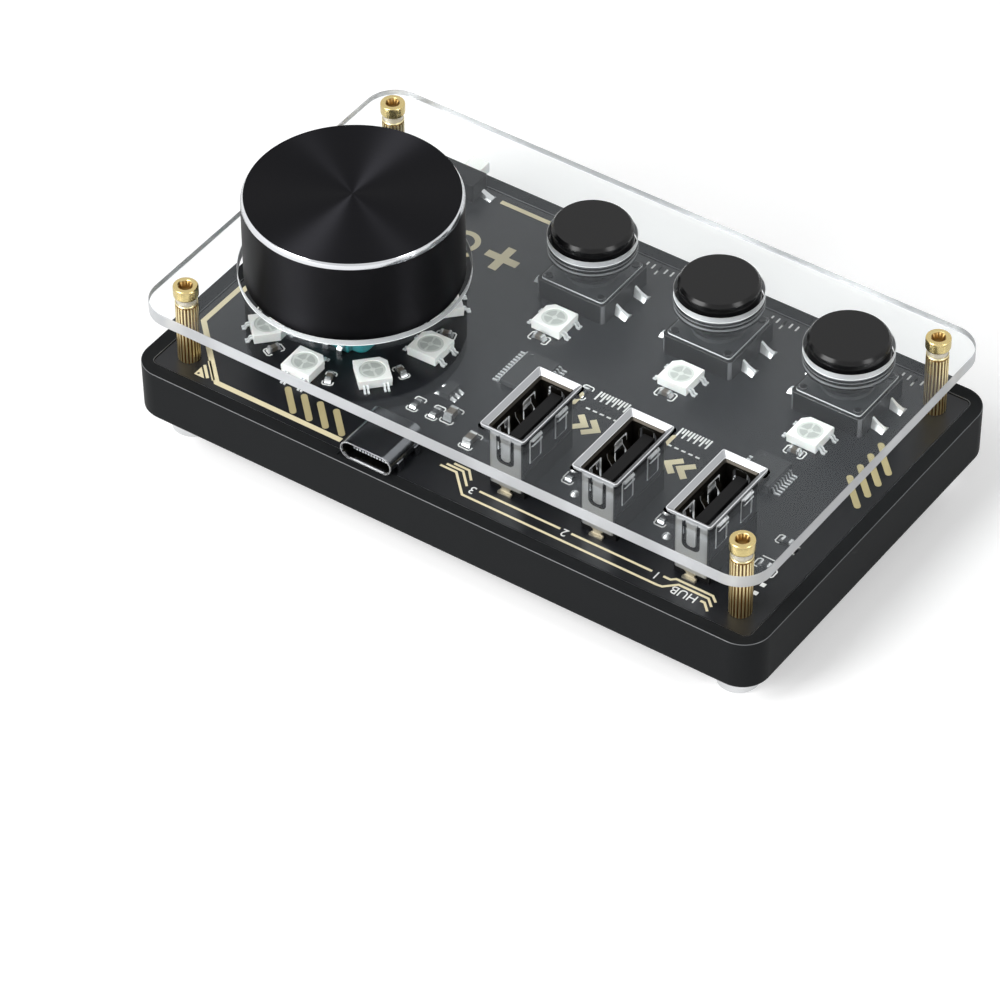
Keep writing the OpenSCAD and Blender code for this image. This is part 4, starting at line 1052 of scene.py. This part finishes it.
def make_small_parts():
    """Resistors, capacitors, and the solder on the legs of larger parts."""
    for name, places, material in (("resistors", RESISTORS, EPOXY), ("capacitors", CAPACITORS, CERAMIC)):
        bodies, ends = [], []
        for x, y, turn, size in places:
            body, tips = chip_part(*size)
            bodies.append(moved(body, x, y, BOARD, turn))
            ends.append(moved(tips, x, y, BOARD, turn))
        if name == "capacitors":
            body, tips = chip_part(*CAP_SIZE)
            bodies.append(in_ring(body, CERAMIC, RING_CAP_TURN, RING_CAP_R))
            ends.append(in_ring(tips, SOLDER, RING_CAP_TURN, RING_CAP_R))
        piece(name + "_bodies", joined(*bodies), [material], replaces=[name])
        piece(name + "_ends", joined(*ends), [SOLDER])
    # the regulator has three legs on one side and two on the other
    regulator_x, regulator_y, pitch = -11.2, -11.9, 0.95
    pad = wedge(0.82, 1.8, 0.62, 0.26, 0.36)
    pads = [moved(pad, regulator_x, regulator_y + k * pitch, BOARD, turn)
            for turn, legs in ((0, (-1, 0, 1)), (180, (-1, 1))) for k in legs]
    piece("regulator_pads", joined(*pads), [SOLDER])
    middle_x, front = middle("slider_housing", 0), low("slider_housing", 1)
    half, pitch = high("slider_housing", 0) - middle_x, 2.6
    side_pad = wedge(half - 0.02, half + 1.9, 0.98, 0.6, 0.9)
    front_pad = wedge(0, 1.9, 0.98, 0.4, 0.4)
    pads = [moved(side_pad, middle_x, front + 2.6, BOARD, turn) for turn in (0, 180)]
    pads += [moved(front_pad, middle_x + k * pitch, front + 0.02, BOARD, -90) for k in (-1, 0, 1)]
    piece("soldered_switch_legs", joined(*pads), [SOLDER], replaces=["slider_legs"])
    # solder joints where the ports' legs pass the board
    dome = [(0, 0.65), (0.3, 0.6), (0.55, 0.4), (0.68, 0.12), (0.72, 0), (0, 0)]
    joints = [lathe(dome, (x - 6.9, -19.7), 24) for x in (PORT_XS[1], PORT_XS[0])]
    piece("solder_joints", moved(joined(*joints), 0, 0, BOARD), [SOLDER])


# ---------------------------------------------------------------- print and gold on the board


def stroke(bm, points, width, height, z, ends):
    """A printed or plated line of that width, with mitred bends and square or round ends."""
    points = [Vector(p) for p in points]
    left, right = [], []
    for k, point in enumerate(points):
        before = (point - points[k - 1]).normalized() if k else None
        after = (points[k + 1] - point).normalized() if k + 1 < len(points) else None
        one, two = before or after, after or before
        normal = Vector((-one.y, one.x)) + Vector((-two.y, two.x))
        normal = normal.normalized() * width / 2 / max(0.3, math.cos(one.angle(two) / 2))
        left.append(point + normal)
        right.append(point - normal)

    def round_end(tip, inner):
        along = (tip - inner).normalized()
        across = Vector((-along.y, along.x))
        return [tip + (along * math.sin(a) + across * math.cos(a)) * width / 2
                for a in [math.pi * k / ends for k in range(1, ends)]]

    outline = left + round_end(points[-1], points[-2]) + right[::-1] + round_end(points[0], points[1])
    rows = [[bm.verts.new(Vector((p.x, p.y, h)) * MM) for p in outline] for h in (z, z + height)]
    for k in range(len(outline)):
        m = (k + 1) % len(outline)
        bm.faces.new((rows[0][k], rows[0][m], rows[1][m], rows[1][k]))
    for row in rows:
        bm.faces.new(row)


def lettering(text, size, x, y, height):
    """Raised plain letters, centred on x and y, to be read from behind."""
    cap_height = 0.7
    curve = bpy.data.curves.new("text", "FONT")
    curve.body, curve.size, curve.extrude = text, size * MM / cap_height, height * MM / 2
    curve.align_x, curve.align_y = "CENTER", "CENTER"
    return moved(evaluated(link("text", curve)), x, y, BOARD + height / 2, 180)


def strokes(width, height, *lines, z=BOARD, ends=0):
    """Several printed lines of one width as one mesh."""
    bm = bmesh.new()
    for line in lines:
        stroke(bm, line, width, height, z, ends)
    return to_mesh(bm)


def make_gold():
    """Bare gold lines and marks."""
    thick = 0.05
    top = BOARD + thick
    frame_lines = strokes(0.85, thick, [(-50.4, -4), (-50.4, -19.1), (-41.2, -28.25), (-18.8, -28.25)])
    corner_lines = strokes(0.45, thick, [(-45, -25), (-41.9, -28.1)], [(-45, -26.1), (-42.9, -28.2)])
    back_bar = strokes(0.75, thick, [(-29.9, 28.2), (-16, 28.2)])
    traces = strokes(
        0.36, thick,
        [(-4.0, -24.5), (-1.2, -24.5), (2.2, -27.95), (35.5, -27.95), (36.3, -27.85), (38.0, -26.25),
         (43.0, -26.25), (44.25, -27.45)],
        [(-3.35, -23.8), (-0.5, -23.8), (1.75, -26.1)], [(-2.5, -23.15), (0.1, -23.15), (1.55, -24.75)],
        [(3.9, -26.0), (17.8, -26.0)], [(19.7, -26.0), (33.4, -26.0)],
        [(35.3, -26.0), (36.5, -26.0), (37.1, -25.45), (43.2, -25.45), (44.25, -26.35)],
        [(42.3, -27.25), (43.0, -27.25), (44.25, -28.5)])
    # a plain plus and ring beside the knob, and chevrons between the ports
    a, b = 2.8, 0.7
    arms = [(a, b), (b, b), (b, a), (-b, a), (-b, b), (-a, b), (-a, -b), (-b, -b), (-b, -a), (b, -a),
            (b, -b), (a, -b)]
    plus = slab([[(x - 22.2, y + 17.3) for x, y in arms]], BOARD, top)
    ring = slab([circle(2.5, 48, -29.2, 17.5), circle(1.6, 40, -29.2, 17.5)], BOARD, top)
    chevrons = strokes(1.0, thick, *[[(x - e, -5.1), (x + e * 0.7, -6.7), (x - e, -8.3)] for x, e in (
        (8.2, 1), (10.3, 1), (23.9, -1), (26.0, -1))])
    # the mark of the front left corner
    arrow = slab([[(-45.1, -26.7), (-45.1, -28.5), (-43.3, -28.5)], circle(0.22, 12, -44.65, -28.05)],
                 BOARD, top)
    piece("gold_lines", joined(frame_lines, corner_lines, back_bar, traces, plus, chevrons, ring, arrow),
          [GOLD], smooth=20)
    pill = strokes(1.0, thick, [(0, 0), (3.55, -3.6)], z=0, ends=6)
    front = in_row(pill, DARKER_GOLD, 4, (-31.8, -23.5), (2.9, 0))
    right = in_row(pill, DARKER_GOLD, 4, (46.4, 13.7), (0, -2.8))
    piece("gold_bars", joined(front, right), [DARKER_GOLD], smooth=20)


def bracket_pair(half_l, half_w, thick):
    """Two open brackets round a part that lies along X."""
    line = [(half_l - 0.75, half_w), (half_l - 0.25, half_w), (half_l, half_w - 0.25),
            (half_l, 0.25 - half_w), (half_l - 0.25, -half_w), (half_l - 0.75, -half_w)]
    return strokes(0.2, thick, *[[(e * x, y) for x, y in line] for e in (-1, 1)], z=0)


def make_print():
    """White marks: numbers, the word at the ports, ticks, and brackets round the small parts."""
    thick, text_h = 0.03, 1.5
    words = [lettering(text, text_h, x, y, thick) for text, x, y in (
        ("3", 2.9, -26.3), ("2", 18.75, -26.3), ("1", 34.35, -26.3), ("HUB", 39.7, -27.4))]
    tick, long_tick = [strokes(0.28, thick, [(0, 0), (0, -length)], z=0) for length in (1.1, 2.0)]
    dash = strokes(0.3, thick, [(0, 0), (0.7, 0)], z=0)
    # short scales at the back edge, and a scale and a row of dashes in each gap between the ports
    at_back, gaps = (-3.7, 18.3, 40.9), (6.9, 21.0)
    rows = [in_row(mark, PRINT, count, (x + shift, y), (step, 0))
            for mark, count, shift, y, step, starts in (
                (tick, 5, 0, 29.1, 1.1, at_back), (long_tick, 1, 2.2, 29.1, 1.1, at_back),
                (long_tick, 6, 0, 0.8, 1.0, gaps), (tick, 5, 0.5, 0.8, 1.0, gaps),
                (dash, 5, 0, -3.4, 1.2, gaps))
            for x in starts]
    outlines = strokes(0.2, thick, [(45.0, -15.4), (47.0, -15.4)], [(47.9, -10.2), (47.9, -12.0)],
                       [(12.6, -16.2), (12.6, -17.6), (13.3, -17.6)],
                       [(28.4, -16.2), (28.4, -17.6), (29.1, -17.6)])
    pads = strokes(0.75, thick, [(47.4, -19.6), (48.15, -19.6)], [(47.4, -21.6), (48.15, -21.6)])
    brackets = [moved(bracket_pair(size[0] / 2 + 0.75, size[1] / 2 + 0.4, thick), x, y, BOARD, turn)
                for x, y, turn, size in RESISTORS + CAPACITORS]
    ring = in_ring(bracket_pair(CAP_SIZE[0] / 2 + 0.6, CAP_SIZE[1] / 2 + 0.35, thick), PRINT,
                   RING_CAP_TURN, RING_CAP_R)
    piece("white_print", joined(*words, *rows, outlines, pads, *brackets, ring), [PRINT],
          smooth=20)


# ---------------------------------------------------------------- what keeps its CAD shape


def dress_the_rest():
    """Parts whose CAD shape is right take their own finish, with rounding where it shows."""
    for node, width, material in (
            ("feet", 0.15, FOOT_STEEL), ("encoder_base", 0.25, TEAL), ("encoder_frame", 0.08, TINNED),
            ("encoder_bushing", 0.08, TURNED), ("knob_insert", 0.1, NYLON), ("slider_housing", 0.2, NYLON),
            ("slider_lever", 0.3, NATURAL), ("hub_chip", 0.12, EPOXY), ("key_chip", 0.12, EPOXY)):
        soften(node, width, [material])
    for material, nodes in (
            (BOARD_MASK, ["circuit_board"]), (TURNED, ["encoder_shaft"]), (NATURAL, ["encoder_push_pin"]),
            (BRASS, ["port_contacts", "inlet_contacts", "encoder_disc"]),
            (BRIGHT, ["key_domes", "encoder_pins", "encoder_dome", "chip_leads"]),
            (EPOXY, ["regulator"])):
        for node in nodes:
            thing = frame["nodes"][node]
            for place in thing.material_slots:
                place.material = material


make_tray()
make_posts()
make_cap_screws()
make_plate()
make_knob()
make_keys()
make_lights()
make_ports()
make_inlet()
make_small_parts()
make_gold()
make_print()
dress_the_rest()
